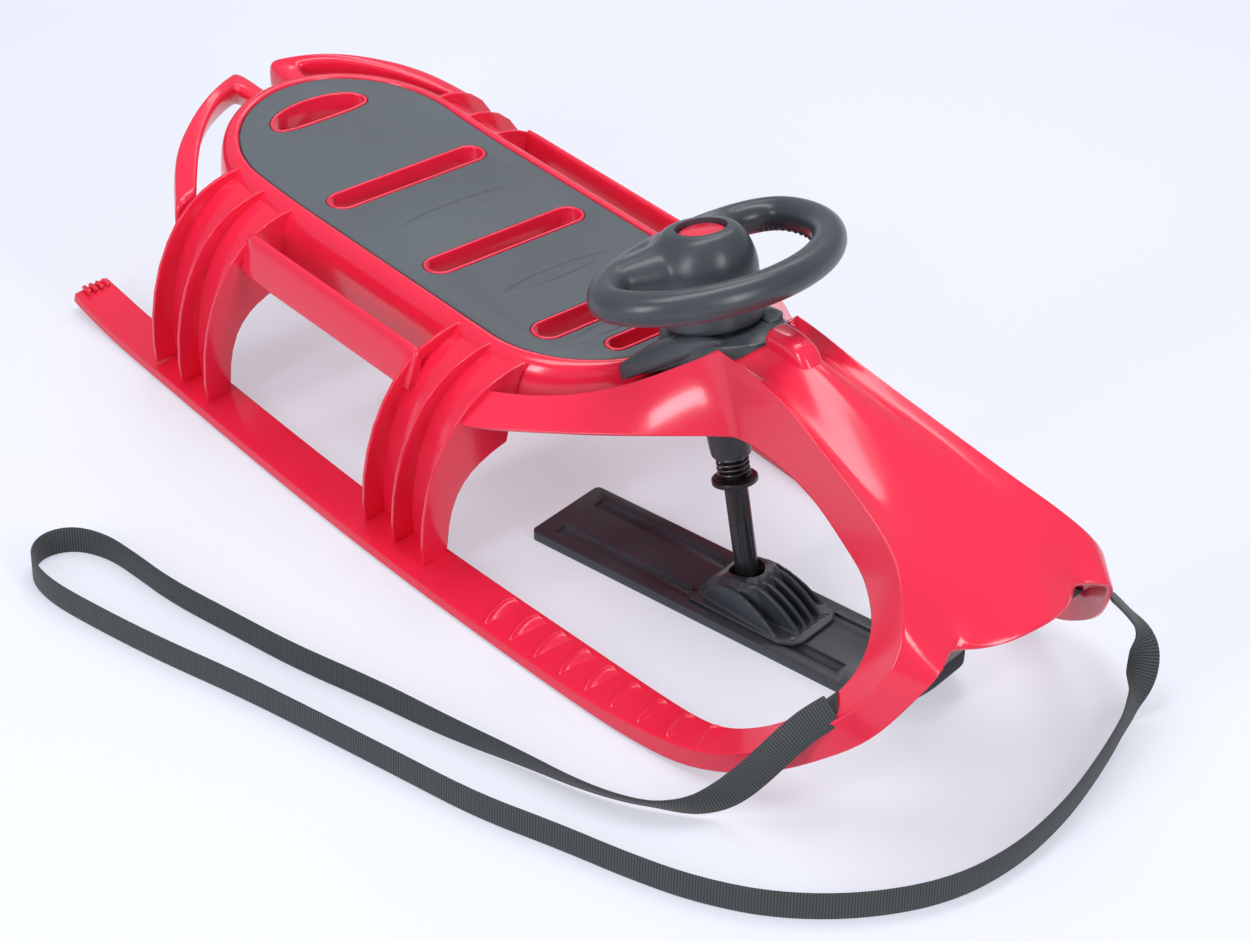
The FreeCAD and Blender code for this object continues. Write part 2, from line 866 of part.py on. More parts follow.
# Arms from the front legs to the neck: shares of the arm's reach, half width and arm height
ARM_TOP_SHARES = (
    (0.0, 0.721, 0.664), (0.164, 0.665, 0.698), (0.348, 0.584, 0.743),
    (0.531, 0.426, 0.799), (0.734, 0.264, 0.918), (0.874, 0.208, 1.0),
)
ARM_LOW_SHARES = (
    (0.0, 0.858, 0.571), (0.164, 0.827, 0.619), (0.372, 0.711, 0.660),
    (0.594, 0.584, 0.705), (0.812, 0.406, 0.731), (1.0, 0.239, 0.757),
)


def arm_point(shares):
    """Place on the right-hand arm from its shares."""
    along, out, up = shares
    start = value(on_sheet("-leg_front_start + %s + seam" % LEG_DEPTH))
    return Vector(start + along * size("arm_reach"), -out * size("half_width"), up * size("arm_height"))


arm_tops = [arm_point(shares) for shares in ARM_TOP_SHARES]
arm_lows = [arm_point(shares) for shares in ARM_LOW_SHARES]
arm_rings = []
for index, (top, low) in enumerate(zip(arm_tops, arm_lows)):
    after = min(index + 1, len(arm_tops) - 1)
    before = max(index - 1, 0)
    along = arm_tops[after] + arm_lows[after] - arm_tops[before] - arm_lows[before]
    inward = along.cross(top - low)
    inward = inward.normalize() * size("arm_thick")
    if inward.y < 0:
        inward = inward * -1
    inward.x = 0
    arm_rings.append((top, low, low + inward, top + inward))
arm = largest(loft(arm_rings).cut(hood_shape))
solid_part(arm, "arm_right")
solid_part(flipped(arm), "arm_left")

# Neck block that carries the column, and the console over it
neck_start = value(on_sheet("-seat_front_centre + pad_half + rim_width + seam"))
neck_end = size("hood_start") - size("seam")
slope = size("console_rise") / size("console_length")


def console_height(x):
    """Height of the underside of the console above the floor at a place along X."""
    return size("seat_height") + size("seam") + slope * (x - size("console_start"))


def side_prism(points, half):
    """Side outline extruded evenly to both sides of the middle."""
    face = Part.Face(closed_wire([Vector(x, -half, z) for x, z in points]))
    return face.extrude(Vector(0, half * 2, 0))


def column_cylinder(radius, start, end):
    """Cylinder about the raked column between two heights along it."""
    shape = Part.makeCylinder(radius, end - start, Vector(0, 0, start))
    shape.Placement = column_frame
    return shape


neck = side_prism(
    (
        (neck_start, size("neck_floor")),
        (neck_end, size("neck_floor")),
        (neck_end, console_height(neck_end) - size("seam")),
        (neck_start, console_height(neck_start) - size("seam")),
    ),
    size("neck_half"),
)
neck = neck.cut(Part.makeCompound([arm, flipped(arm)]))
neck = largest(neck)
boss = column_cylinder(size("boss_radius"), size("boss_start"), size("boss_end"))
bore = column_cylinder(
    size("tube_radius") + size("running_clearance"),
    size("boss_start") - size("overrun") * 2,
    size("boss_end") + size("overrun") * 2,
)
below = column_cylinder(
    size("boss_radius") + size("overrun") * 2, size("boss_start") - size("overrun") * 2, size("boss_start")
)
neck = largest(neck.fuse(boss).cut(below).cut(bore).removeSplitter())
solid_part(neck, "neck_block")

console_end = size("console_start") + size("console_length")
console = side_prism(
    (
        (size("console_start"), console_height(size("console_start"))),
        (console_end, console_height(console_end)),
        (console_end, console_height(console_end) + size("console_thick")),
        (size("console_start"), console_height(size("console_start")) + size("console_thick")),
    ),
    size("console_half"),
)
arm_room = Part.makeCompound([arm, flipped(arm), hood_shape])
console = console.cut(arm_room)
console = console.cut(
    column_cylinder(size("boss_radius") + size("seam"), size("boss_start"), size("hub_top"))
)
solid_part(largest(console), "console")

# Steering wheel, column tube and what holds them, all about the column's axis
HUB_BASE = "(boss_end + washer_thick + seam)"


def turned(name, profile):
    """Body turned about the column from (radius, height) corners."""
    body = new_body(name)
    revolve(body, sketch_on(body, "XZ_Plane", corners(*profile)))
    body.Placement = column_frame
    return body


hub_blank = turned(
    "hub_blank",
    (
        ("tube_radius + snug_clearance", HUB_BASE),
        ("boss_radius", HUB_BASE),
        ("hub_waist", "hub_waist_height"),
        ("hub_waist", "rim_height"),
        ("hub_crown", "hub_top"),
        ("button_radius + button_gap", "hub_top"),
        ("button_radius + button_gap", "tube_end + hub_web"),
        ("bolt_radius + snug_clearance", "tube_end + hub_web"),
        ("bolt_radius + snug_clearance", "tube_end"),
        ("tube_radius + snug_clearance", "tube_end"),
    ),
)


def rim_path():
    """Closed path of the wheel's rim from the middle of its straight back, round two corners and the front."""
    radius = size("rim_radius")
    corner = size("rim_corner")
    back = size("rim_back")
    corner_x = corner - back
    corner_y = math.sqrt((radius - corner) ** 2 - corner_x ** 2)
    outward = Vector(corner_x, corner_y, 0).normalize()
    bend = Vector(corner_x, corner_y, 0) + (outward + Vector(-1, 0, 0)).normalize() * corner
    lift = Vector(0, 0, size("rim_height"))
    left = [point + lift for point in (outward * radius, bend, Vector(-back, corner_y, 0))]
    right = [Vector(point.x, -point.y, point.z) for point in left]
    front = Vector(radius, 0, 0) + lift
    middle = Vector(-back, 0, 0) + lift
    return Part.Wire(
        [
            Part.makeLine(middle, right[2]),
            Part.Arc(right[2], right[1], right[0]).toShape(),
            Part.Arc(right[0], front, left[0]).toShape(),
            Part.Arc(left[0], left[1], left[2]).toShape(),
            Part.makeLine(left[2], middle),
        ]
    )


def swept(path, section):
    """Tube along a path."""
    shell = Part.BRepOffsetAPI.MakePipeShell(path)
    shell.add(section)
    shell.build()
    shell.makeSolid()
    shape = shell.shape()
    return shape if shape.Volume > 0 else shape.reversed()


rim_centre = Vector(-size("rim_back"), 0, size("rim_height"))
rim_section = Part.Wire(Part.makeCircle(size("rim_tube"), rim_centre, Vector(0, 1, 0)))
rim = swept(rim_path(), rim_section)
hub_shape = hub_blank.Shape.copy()
hub_shape.Placement = Placement()
recess = Part.makeCylinder(
    size("button_radius") + size("button_gap"),
    size("hub_top"),
    Vector(0, 0, size("tube_end") + size("hub_web")),
)
socket = Part.makeCylinder(size("tube_radius") + size("snug_clearance"), size("tube_end"), Vector(0, 0, 0))
wheel = largest(hub_shape.fuse(rim).cut(recess).cut(socket).removeSplitter())
solid_part(wheel, "steering_wheel", column_frame)

node(
    turned(
        "column_tube",
        (
            ("shaft_radius + running_clearance", "tube_start"),
            ("tube_nose_radius", "tube_start"),
            ("tube_radius", "tube_start + tube_taper"),
            ("tube_radius", "tube_end - seam"),
            ("bolt_radius + snug_clearance", "tube_end - seam"),
            ("bolt_radius + snug_clearance", "tube_end - bolt_depth - seam"),
            ("0", "tube_end - bolt_depth - seam"),
            ("0", "tube_bore_end"),
            ("shaft_radius + running_clearance", "tube_bore_end"),
        ),
    ),
    "column_tube",
)
node(
    turned(
        "wheel_bolt",
        (
            ("0", "tube_end - bolt_depth"),
            ("bolt_radius", "tube_end - bolt_depth"),
            ("bolt_radius", "tube_end + hub_web + seam"),
            ("bolt_head_radius", "tube_end + hub_web + seam"),
            ("bolt_head_radius", "tube_end + hub_web + bolt_head"),
            ("0", "tube_end + hub_web + bolt_head"),
        ),
    ),
    "wheel_bolt",
)
node(
    turned(
        "thrust_washer",
        (
            ("tube_radius + snug_clearance", "boss_end + seam / 2"),
            ("boss_radius", "boss_end + seam / 2"),
            ("boss_radius", "boss_end + washer_thick"),
            ("tube_radius + snug_clearance", "boss_end + washer_thick"),
        ),
    ),
    "thrust_washer",
)
node(
    turned(
        "retaining_ring",
        (
            ("tube_radius + snug_clearance", "boss_start - ring_thick - seam"),
            ("ring_radius", "boss_start - ring_thick - seam"),
            ("ring_radius", "boss_start - seam"),
            ("tube_radius + snug_clearance", "boss_start - seam"),
        ),
    ),
    "retaining_ring",
)
node(
    turned(
        "horn_button",
        (
            ("0", "hub_top - button_sink - button_thick"),
            ("button_radius", "hub_top - button_sink - button_thick"),
            ("button_radius", "hub_top - button_sink - button_thick / 4"),
            ("button_radius * 0.8", "hub_top - button_sink"),
            ("0", "hub_top - button_sink"),
        ),
    ),
    "horn_button",
)

# Shaft, flange and coil spring


def helix_point(radius, pitch, turns, start):
    """Place and way along of a helix about the column's axis."""
    angle = 2 * math.pi * turns
    place = Vector(radius * math.cos(angle), radius * math.sin(angle), start + pitch * turns)
    way = Vector(-radius * math.sin(angle), radius * math.cos(angle), pitch / (2 * math.pi))
    return place, way.normalize()


def biarc(first, first_way, last, last_way):
    """Two arcs that join two places along given ways."""
    span = last - first
    ways = first_way + last_way
    spread = 2 * (1 - first_way.dot(last_way))
    along = span.dot(ways)
    reach = (math.sqrt(along * along + spread * span.dot(span)) - along) / spread
    near = first + first_way * reach
    far = last - last_way * reach
    joint = (near + far) * 0.5
    return [tangent_arc(first, near, joint), tangent_arc(joint, far, last)]


def coil(radius, wire, turns, start, end, label):
    """Coil spring as one unbroken tube with straight ends along the axis."""
    lead = wire * 2
    helix_start = start + wire + lead
    pitch = (end - start - 2 * wire - 2 * lead) / (turns - 0.5)
    quarter_count = int(round((turns - 0.5) * 4))
    begin, begin_way = helix_point(radius, pitch, 0, helix_start)
    up = Vector(0, 0, 1)
    back_turn = Rotation(up, -45)
    foot = back_turn.multVec(Vector(radius, 0, 0)) + up * start
    knee = foot + up * wire
    pieces = [Part.makeLine(foot, knee)]
    pieces += biarc(knee, up, begin, begin_way)
    place, way = begin, begin_way
    for quarter in range(1, quarter_count + 1):
        following, following_way = helix_point(radius, pitch, quarter / 4, helix_start)
        pieces += biarc(place, way, following, following_way)
        place, way = following, following_way
    forward_turn = Rotation(up, 90.0 * quarter_count + 45)
    head = forward_turn.multVec(Vector(radius, 0, 0)) + up * end
    neck_point = head - up * wire
    pieces += biarc(place, way, neck_point, up)
    pieces.append(Part.makeLine(neck_point, head))
    section = Part.Wire(Part.makeCircle(wire / 2, foot, up))
    tube = swept(Part.Wire(pieces), section)
    print(label, "least gap between turns", round(coil_gap(pieces, wire), 2))
    return tube


def coil_gap(pieces, wire):
    """Least gap of the wire to itself, on points along it that are not close neighbours."""
    points = []
    for piece in pieces:
        points += piece.discretize(9)[:-1]
    gaps = []
    apart = 24
    for index, point in enumerate(points):
        for other in points[index + apart:]:
            gaps.append(point.distanceToPoint(other) - wire)
    return min(gaps)


shaft_body = turned(
    "shaft_blank",
    (
        ("0", "shaft_start"),
        ("shaft_radius", "shaft_start"),
        ("shaft_radius", "shaft_end"),
        ("0", "shaft_end"),
    ),
)
flute_sketch = shaft_body.newObject("Sketcher::SketchObject", "flute_outline")
flute_sketch.AttachmentSupport = [(plane(shaft_body, "XY_Plane"), "")]
flute_sketch.MapMode = "FlatFace"
flute_sketch.addGeometry(
    Part.Circle(Vector(size("shaft_radius"), 0, 0), Vector(0, 0, 1), size("flute_radius")), False
)
flute_sketch.addConstraint(Sketcher.Constraint("PointOnObject", 0, 3, -1))
bind_place(flute_sketch, 0, 3, "DistanceX", on_sheet("shaft_radius + flute_radius / 2"), -2)
number = flute_sketch.addConstraint(Sketcher.Constraint("Radius", 0, size("flute_radius")))
flute_sketch.setExpression("Constraints[%d]" % number, on_sheet("flute_radius"))
doc.recompute()
flute = pocket(shaft_body, flute_sketch)
flutes = shaft_body.newObject("PartDesign::PolarPattern", "flutes")
flutes.Originals = [flute]
flutes.Axis = (plane(shaft_body, "Z_Axis"), [""])
flutes.Angle = 360
flutes.setExpression("Occurrences", on_sheet("flute_count"))
shaft_body.Tip = flutes
doc.recompute()

pin_turn = Rotation(Vector(0, 0, 1), size("steer_rest")).multiply(Rotation(Vector(1, 0, 0), -90))
pin_end = Rotation(Vector(0, 0, 1), size("steer_rest")).multVec(Vector(0, -size("pin_half"), 0))


def cross_cylinder(name, radius):
    """Cylinder across the foot of the shaft, the length of the pin."""
    item = doc.addObject("Part::Cylinder", name)
    item.setExpression("Radius", on_sheet(radius))
    item.setExpression("Height", on_sheet("2 * pin_half"))
    item.Placement = Placement(Vector(pivot_x, 0, size("pivot_height")) + pin_end, pin_turn)
    return item


node(cross_cylinder("pin", "pin_radius"), "foot_pin")
node(cut(shaft_body, cross_cylinder("pin_snug_hole", "pin_radius + snug_clearance"), "shaft_drilled"), "shaft")
node(
    turned(
        "shaft_flange",
        (
            ("shaft_radius + snug_clearance", "flange_start"),
            ("flange_radius", "flange_start"),
            ("flange_radius", "flange_start + flange_thick"),
            ("shaft_radius + snug_clearance", "flange_start + flange_thick"),
        ),
    ),
    "shaft_flange",
)
solid_part(
    coil(
        size("spring_radius"),
        size("spring_wire"),
        size("spring_turns"),
        size("flange_start") + size("flange_thick") + size("seam"),
        size("tube_start") - size("seam"),
        "suspension_spring",
    ),
    "suspension_spring",
    column_frame,
)
solid_part(
    coil(
        size("button_spring_radius"),
        size("button_spring_wire"),
        size("button_spring_turns"),
        size("tube_end") + size("hub_web") + size("seam"),
        size("hub_top") - size("button_sink") - size("button_thick") - size("seam"),
        "horn_spring",
    ),
    "horn_spring",
    column_frame,
)

# Steering ski, its ribbed foot and screws
ski_blank = new_body("ski_blank")
tip_out = "(ski_bend + %s * sin(ski_tip_angle))"
ski_side = corners(
    ("-ski_rear", "0"),
    ("ski_bend", "0", "ski_tip_radius", 1),
    (tip_out % "ski_tip_radius", "ski_tip_radius * (1 - cos(ski_tip_angle))"),
    (
        tip_out % "(ski_tip_radius - ski_thick)",
        "ski_tip_radius - (ski_tip_radius - ski_thick) * cos(ski_tip_angle)",
        "ski_tip_radius - ski_thick",
        -1,
    ),
    ("ski_bend", "ski_thick"),
    ("-ski_rear", "ski_thick"),
)
pad(ski_blank, sketch_on(ski_blank, "XZ_Plane", ski_side), on_sheet("2 * ski_half"), True)
ski_tip = "(ski_bend + ski_tip_radius * sin(ski_tip_angle))"
ski_frame_outline = corners(
    ("-(ski_rear + overrun)", "-(ski_half + overrun)"),
    (ski_tip + " + overrun", "-(ski_half + overrun)"),
    (ski_tip + " + overrun", "ski_half + overrun"),
    ("-(ski_rear + overrun)", "ski_half + overrun"),
)
ski_plan = corners(
    ("-(ski_rear - ski_rear_corner)", "-ski_half"),
    (ski_tip + " - ski_corner", "-ski_half", "ski_corner", 1),
    (ski_tip, "-(ski_half - ski_corner)"),
    (ski_tip, "ski_half - ski_corner", "ski_corner", 1),
    (ski_tip + " - ski_corner", "ski_half"),
    ("-(ski_rear - ski_rear_corner)", "ski_half", "ski_rear_corner", 1),
    ("-ski_rear", "ski_half - ski_rear_corner"),
    ("-ski_rear", "-(ski_half - ski_rear_corner)", "ski_rear_corner", 1),
)
pocket(ski_blank, sketch_on(ski_blank, "XY_Plane", ski_frame_outline, ski_plan))

foot = new_body("foot")
foot_plan = corners(
    ("-foot_rear", "-foot_half"),
    ("foot_front", "-foot_half"),
    ("foot_front", "foot_half"),
    ("-foot_rear", "foot_half"),
)
housing_reach = "(socket_straight + socket_radius + housing_wall)"
housing_half = "(socket_radius + housing_wall)"
housing_plan = corners(
    ("-socket_centre - " + housing_reach, "-" + housing_half),
    ("-socket_centre + " + housing_reach, "-" + housing_half),
    ("-socket_centre + " + housing_reach, housing_half),
    ("-socket_centre - " + housing_reach, housing_half),
)
pad(foot, sketch_on(foot, "XY_Plane", foot_plan, offset=on_sheet("ski_thick + seam")), on_sheet("foot_base"))
pad(
    foot,
    sketch_on(foot, "XY_Plane", housing_plan, offset=on_sheet("ski_thick + seam")),
    on_sheet("foot_top - ski_thick - seam"),
)
rib_foot = "ski_thick + seam + foot_base / 2"
foot_rib = corners(
    ("-(foot_rear - foot_base)", rib_foot),
    ("foot_front - foot_base", rib_foot, "foot_rib_radius", 1),
    ("foot_rib_crest", "foot_top"),
    ("-foot_rib_shoulder", "foot_rib_rear_height"),
)
first_rib = "-foot_rib_pitch * (foot_rib_count - 1) / 2"
rib_feature = pad(
    foot,
    sketch_on(foot, "XZ_Plane", foot_rib, offset=on_sheet("-(%s)" % first_rib)),
    on_sheet("foot_rib_thick"),
    True,
)
pattern(
    foot, rib_feature, "Y_Axis", on_sheet("foot_rib_pitch * (foot_rib_count - 1)"), on_sheet("foot_rib_count")
)


def socket_parts():
    """Oval socket as two cylinders and a box, from its floor up."""
    height = on_sheet("foot_top - socket_floor + overrun")
    parts = []
    for end in (-1, 1):
        place = (on_sheet("-socket_centre + socket_straight * (%d)" % end), "0", on_sheet("socket_floor"))
        parts.append(cylinder("socket_end", on_sheet("socket_radius"), height, place))
    parts.append(
        box(
            "socket_middle",
            (on_sheet("2 * socket_straight"), on_sheet("2 * socket_radius"), height),
            (on_sheet("-socket_centre - socket_straight"), on_sheet("-socket_radius"), on_sheet("socket_floor")),
        )
    )
    return parts


def screw_set(name, radius, start, length):
    """Four upright cylinders at the foot's screw places."""
    items = []
    for x in ("-screw_rear", "screw_front"):
        for y in ("-screw_offset", "screw_offset"):
            place = (on_sheet(x), on_sheet(y), on_sheet(start))
            items.append(cylinder(name, on_sheet(radius), on_sheet(length), place))
    return items


pin_hole = doc.addObject("Part::Cylinder", "pin_running_hole")
pin_hole.setExpression("Radius", on_sheet("pin_radius + running_clearance"))
pin_hole.setExpression("Height", on_sheet("2 * (pin_half + overrun)"))
pin_hole.Placement = Placement(Vector(0, 0, 0), Rotation(Vector(1, 0, 0), -90))
pin_hole.setExpression("Placement.Base.y", on_sheet("-(pin_half + overrun)"))
pin_hole.setExpression("Placement.Base.z", on_sheet("pivot_height"))
screw_holes = screw_set(
    "screw_hole", "screw_radius + snug_clearance", "-overrun", "screw_length + screw_recess + overrun + seam"
)
foot_room = doc.addObject("Part::MultiFuse", "foot_room")
foot_room.Shapes = socket_parts() + [pin_hole] + screw_holes
foot_drilled = cut(foot, foot_room, "foot_drilled")
foot_drilled.Placement = ski_frame
node(foot_drilled, "ski_foot")

grooves = []
for offset in ("-groove_offset", "groove_offset"):
    grooves.append(
        box(
            "groove",
            (on_sheet("groove_rear + groove_front"), on_sheet("groove_width"), on_sheet("groove_depth + overrun")),
            (
                on_sheet("-groove_rear"),
                on_sheet(offset + " - groove_width / 2"),
                on_sheet("ski_thick - groove_depth"),
            ),
        )
    )
ski_room = doc.addObject("Part::MultiFuse", "ski_room")
ski_room.Shapes = grooves + screw_set(
    "ski_screw_hole", "screw_radius + snug_clearance", "-overrun", "screw_length + screw_recess + overrun"
)
ski_grooved = cut(ski_blank, ski_room, "ski_grooved")
ski_grooved.Placement = ski_frame
node(ski_grooved, "ski")
screws = group(screw_set("screw", "screw_radius", "screw_recess", "screw_length"), "screws")
screws.Placement = ski_frame
node(screws, "foot_screws")

# Pull strap: a loop round each front band and one long webbing between them, on edge on the floor
STRAP_ROUTE = (
    (429, -167, 64), (423, -178, 50), (415, -190, 35), (407, -202, 23), (397, -216, 15.5), (383, -233, 13.4),
    (359, -253, 13.2), (320, -271, 13.2), (266, -286, 13.2), (198, -308, 13.2), (124, -326, 13.2), (50, -349, 13.2),
    (-22, -364, 13.2), (-88, -378, 13.2), (-140, -381, 13.2), (-176, -385, 13.2), (-204, -401, 13.2),
    (-211, -429, 13.2), (-192, -452, 13.2), (-153, -458, 13.2), (-96, -447, 13.2), (-26, -430, 13.2),
    (52, -406, 13.2), (132, -386, 13.2), (212, -367, 13.2), (290, -349, 13.2), (356, -323, 13.2),
    (416, -303, 13.2), (468, -281, 13.2), (518, -247, 13.2), (560, -196, 13.2), (588, -133, 13.2),
    (592, -67, 13.2), (579, 1, 13.2), (558, 61, 13.2), (534, 117, 13.4), (513, 158, 22), (501, 176, 48),
    (489, 168, 76), (477.3, 147.0, 100.4),
)


def strap_path(points):
    """Straight runs joined by arcs as large as their runs allow; prints the radii."""
    pieces = []
    radii = []
    here = points[0]
    for before, corner, after in zip(points, points[1:], points[2:]):
        back = before - corner
        ahead = after - corner
        reach = 0.45 * min(back.Length, ahead.Length)
        turn = math.pi - back.getAngle(ahead)
        radii.append(round(reach / math.tan(turn / 2)))
        start = corner + back.normalize() * reach
        end = corner + ahead.normalize() * reach
        pieces.append(Part.makeLine(here, start))
        pieces.append(tangent_arc(start, corner, end))
        here = end
    pieces.append(Part.makeLine(here, points[-1]))
    print("strap radii", radii)
    return Part.Wire(pieces)


def strap_solid(path):
    """Flat webbing on edge along the path."""
    first = path.Edges[0]
    start = first.valueAt(first.FirstParameter)
    upright = Vector(0, 0, 1)
    side = first.tangentAt(first.FirstParameter).cross(upright).normalize()
    across = side * (size("strap_thick") / 2)
    tall = upright * (size("strap_width") / 2)
    section = closed_wire((start + across + tall, start + across - tall, start - across - tall, start - across + tall))
    shell = Part.BRepOffsetAPI.MakePipeShell(path)
    shell.setBiNormalMode(upright)
    shell.add(section)
    shell.build()
    shell.makeSolid()
    shape = shell.shape()
    if shape.Volume < 0:
        shape = shape.reversed()
    expected = path.Length * size("strap_width") * size("strap_thick")
    print("strap length", round(path.Length), "volume share", round(shape.Volume / expected, 3))
    return shape


# Places where the strap lies on the right-hand band: station along the band, share from ridge to inside
DRAPE_SHARES = ((3.58, 0.53), (3.29, 0.37), (3.0, 0.20), (2.62, -0.02))


def band_corner(table, station):
    """Place on one edge of the front band at a station between two of its table's rows."""
    row = min(int(station), len(table) - 2)
    first = nose_point(table[row])
    return first + (nose_point(table[row + 1]) - first) * (station - row)


def strap_drape():
    """End of the strap that lies flat on the band's side, from its loop to where it drops over the ridge."""
    middles = []
    faces = []
    for station, share in DRAPE_SHARES:
        ridge = band_corner(RIDGE_SHARES, station)
        inside = band_corner(INSIDE_SHARES, station)
        middles.append(ridge + (inside - ridge) * share)
        faces.append(inside - ridge)
    rings = []
    for index, middle in enumerate(middles):
        after = middles[min(index + 1, len(middles) - 1)]
        before = middles[max(index - 1, 0)]
        along = (after - before).normalize()
        outward = faces[index].cross(along).normalize()
        if outward.z < 0:
            outward = outward * -1
        across = outward.cross(along).normalize() * (size("strap_width") / 2)
        low = middle + outward * size("drape_lift")
        high = low + outward * size("strap_thick")
        rings.append((low - across, low + across, high + across, high - across))
    return loft(rings)


route = strap_path([Vector(*point) for point in STRAP_ROUTE])
strap = strap_solid(route).fuse(strap_drape()).removeSplitter()
print("strap solids", len(strap.Solids))
solid_part(strap, "pull_strap")


def band_loop():
    """Loop of webbing round the right-hand front band, trimmed clear of it."""
    index = 4
    corners_here = [nose_point(table[index]) for table in (RIDGE_SHARES, FRONT_SHARES, INSIDE_SHARES)]
    before = band_ring(index - 1)[0]
    after = band_ring(index + 1)[0]
    way = (corners_here[1] - corners_here[0]).cross(corners_here[2] - corners_here[0]).normalize()
    if way.dot(after - before) < 0:
        way = way * -1
    start = way * (-size("strap_width") / 2)
    rings = []
    for room in (size("loop_room"), size("loop_room") + size("loop_thick")):
        wire = closed_wire([point + start for point in corners_here])
        outline = wire.makeOffset2D(room, 0, False, False, False)
        rings.append(Part.Face(outline).extrude(way * size("strap_width")))
    return rings[1].cut(rings[0])


loop_ring = band_loop().cut(band)
strap_loop = largest(loop_ring)
solid_part(strap_loop, "strap_loop_right")
solid_part(flipped(strap_loop), "strap_loop_left")

# Check everything, then write one file for each sub-part
doc.recompute()
faults = []
for item in doc.Objects:
    if "Invalid" in item.State or "Error" in item.State:
        faults.append("%s %s" % (item.Name, item.State))
for item in nodes:
    if item.Shape.isNull() or not item.Shape.isValid():
        faults.append(item.Label + " has no valid shape")
if faults:
    raise ValueError("; ".join(faults))
os.makedirs("parts", exist_ok=True)
for item in nodes:
    item.Shape.exportStep(os.path.join("parts", item.Label + ".step"))
print("sub-parts written:", len(nodes))
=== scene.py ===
import math

import bmesh
import bpy
from mathutils import Matrix, Vector


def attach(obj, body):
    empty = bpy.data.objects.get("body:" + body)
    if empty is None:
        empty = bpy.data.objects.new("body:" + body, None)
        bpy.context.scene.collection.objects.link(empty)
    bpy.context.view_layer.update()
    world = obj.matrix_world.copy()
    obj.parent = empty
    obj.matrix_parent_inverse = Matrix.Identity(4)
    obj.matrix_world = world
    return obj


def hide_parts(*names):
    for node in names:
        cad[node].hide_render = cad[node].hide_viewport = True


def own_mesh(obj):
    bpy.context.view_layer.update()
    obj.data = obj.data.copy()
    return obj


# Steering sled: smooth mouldings, wheel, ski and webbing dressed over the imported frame
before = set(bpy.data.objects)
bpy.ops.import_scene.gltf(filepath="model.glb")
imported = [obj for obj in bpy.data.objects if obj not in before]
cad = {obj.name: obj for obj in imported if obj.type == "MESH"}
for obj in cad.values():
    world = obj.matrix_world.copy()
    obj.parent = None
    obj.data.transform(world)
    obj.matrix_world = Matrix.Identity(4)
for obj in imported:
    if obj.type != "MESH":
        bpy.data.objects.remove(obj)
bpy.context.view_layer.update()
scene = bpy.context.scene

MM = 0.001
SIDES = ((-1, "right"), (1, "left"))

# Column axis with its rake, then with the turn of the wheel and the ski at rest
RAKE = Matrix.Translation((0.2211, 0, 0)) @ Matrix.Rotation(math.radians(-14.5), 4, "Y")
REST_TURN = Matrix.Rotation(math.radians(10.5), 4, "Z")
STEER = RAKE @ REST_TURN


def mm(point):
    """Place in metres from millimetres."""
    return Vector(point) * MM


def place_camera():
    """Camera at the photograph's viewing angle."""
    data = bpy.data.cameras.new("photo_camera")
    data.sensor_fit = "HORIZONTAL"
    data.sensor_width = 36
    data.lens = 95.19
    data.clip_end = 60
    camera = bpy.data.objects.new("photo_camera", data)
    scene.collection.objects.link(camera)
    stand = Vector((1.8340, -1.5652, 1.6622))
    forward = (Vector((-0.01502, 0.05886, -0.00814)) - stand).normalized()
    level = forward.cross(Vector((0, 0, 1))).normalized()
    upright = level.cross(forward)
    roll = math.radians(1.9)
    right = level * math.cos(roll) + upright * math.sin(roll)
    up = upright * math.cos(roll) - level * math.sin(roll)
    turn = Matrix((right, up, -forward)).transposed().to_4x4()
    camera.matrix_world = Matrix.Translation(stand) @ turn
    scene.camera = camera


place_camera()


# Mesh helpers

CAP_CREASE = 0.5


def link(name, data):
    """New object in the scene for a mesh or a curve."""
    piece = bpy.data.objects.new(name, data)
    scene.collection.objects.link(piece)
    return piece


def plain_mesh(piece):
    """Plain mesh of an object as its modifiers or its curve make it."""
    bpy.context.view_layer.update()
    ready = piece.evaluated_get(bpy.context.evaluated_depsgraph_get())
    return bpy.data.meshes.new_from_object(ready)


def settle(piece):
    """Turn an object with modifiers into a plain mesh."""
    mesh = plain_mesh(piece)
    piece.modifiers.clear()
    piece.data = mesh
    return piece


def subdivide(piece, levels):
    """Subdivision surface with equal levels."""
    smooth = piece.modifiers.new("smooth", "SUBSURF")
    smooth.levels = levels
    smooth.render_levels = levels
    return piece


def smooth_faces(piece, angle=180):
    """Smooth shading, kept sharp past an angle."""
    mesh = piece.data
    mesh.shade_smooth()
    if angle < 180:
        mesh.set_sharp_from_angle(angle=math.radians(angle))


def crease_layer(mesh):
    """Edge crease layer of an edit mesh."""
    layer = mesh.edges.layers.float.get("crease_edge")
    return layer or mesh.edges.layers.float.new("crease_edge")


def finish(piece, body, material, slot, *replaced):
    """Give a piece its finish, its body and the nodes that it stands for."""
    piece.data.materials.clear()
    piece.data.materials.append(material)
    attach(piece, body)
    if replaced:
        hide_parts(*replaced)
    return piece


def face_outwards(build):
    """Turn the faces of an edit mesh outwards."""
    bmesh.ops.recalc_face_normals(build, faces=build.faces)


def mesh_piece(name, build, place=None):
    """New object from an edit mesh, set in its place."""
    mesh = bpy.data.meshes.new(name)
    build.to_mesh(mesh)
    build.free()
    if place is not None:
        mesh.transform(place)
    return link(name, mesh)


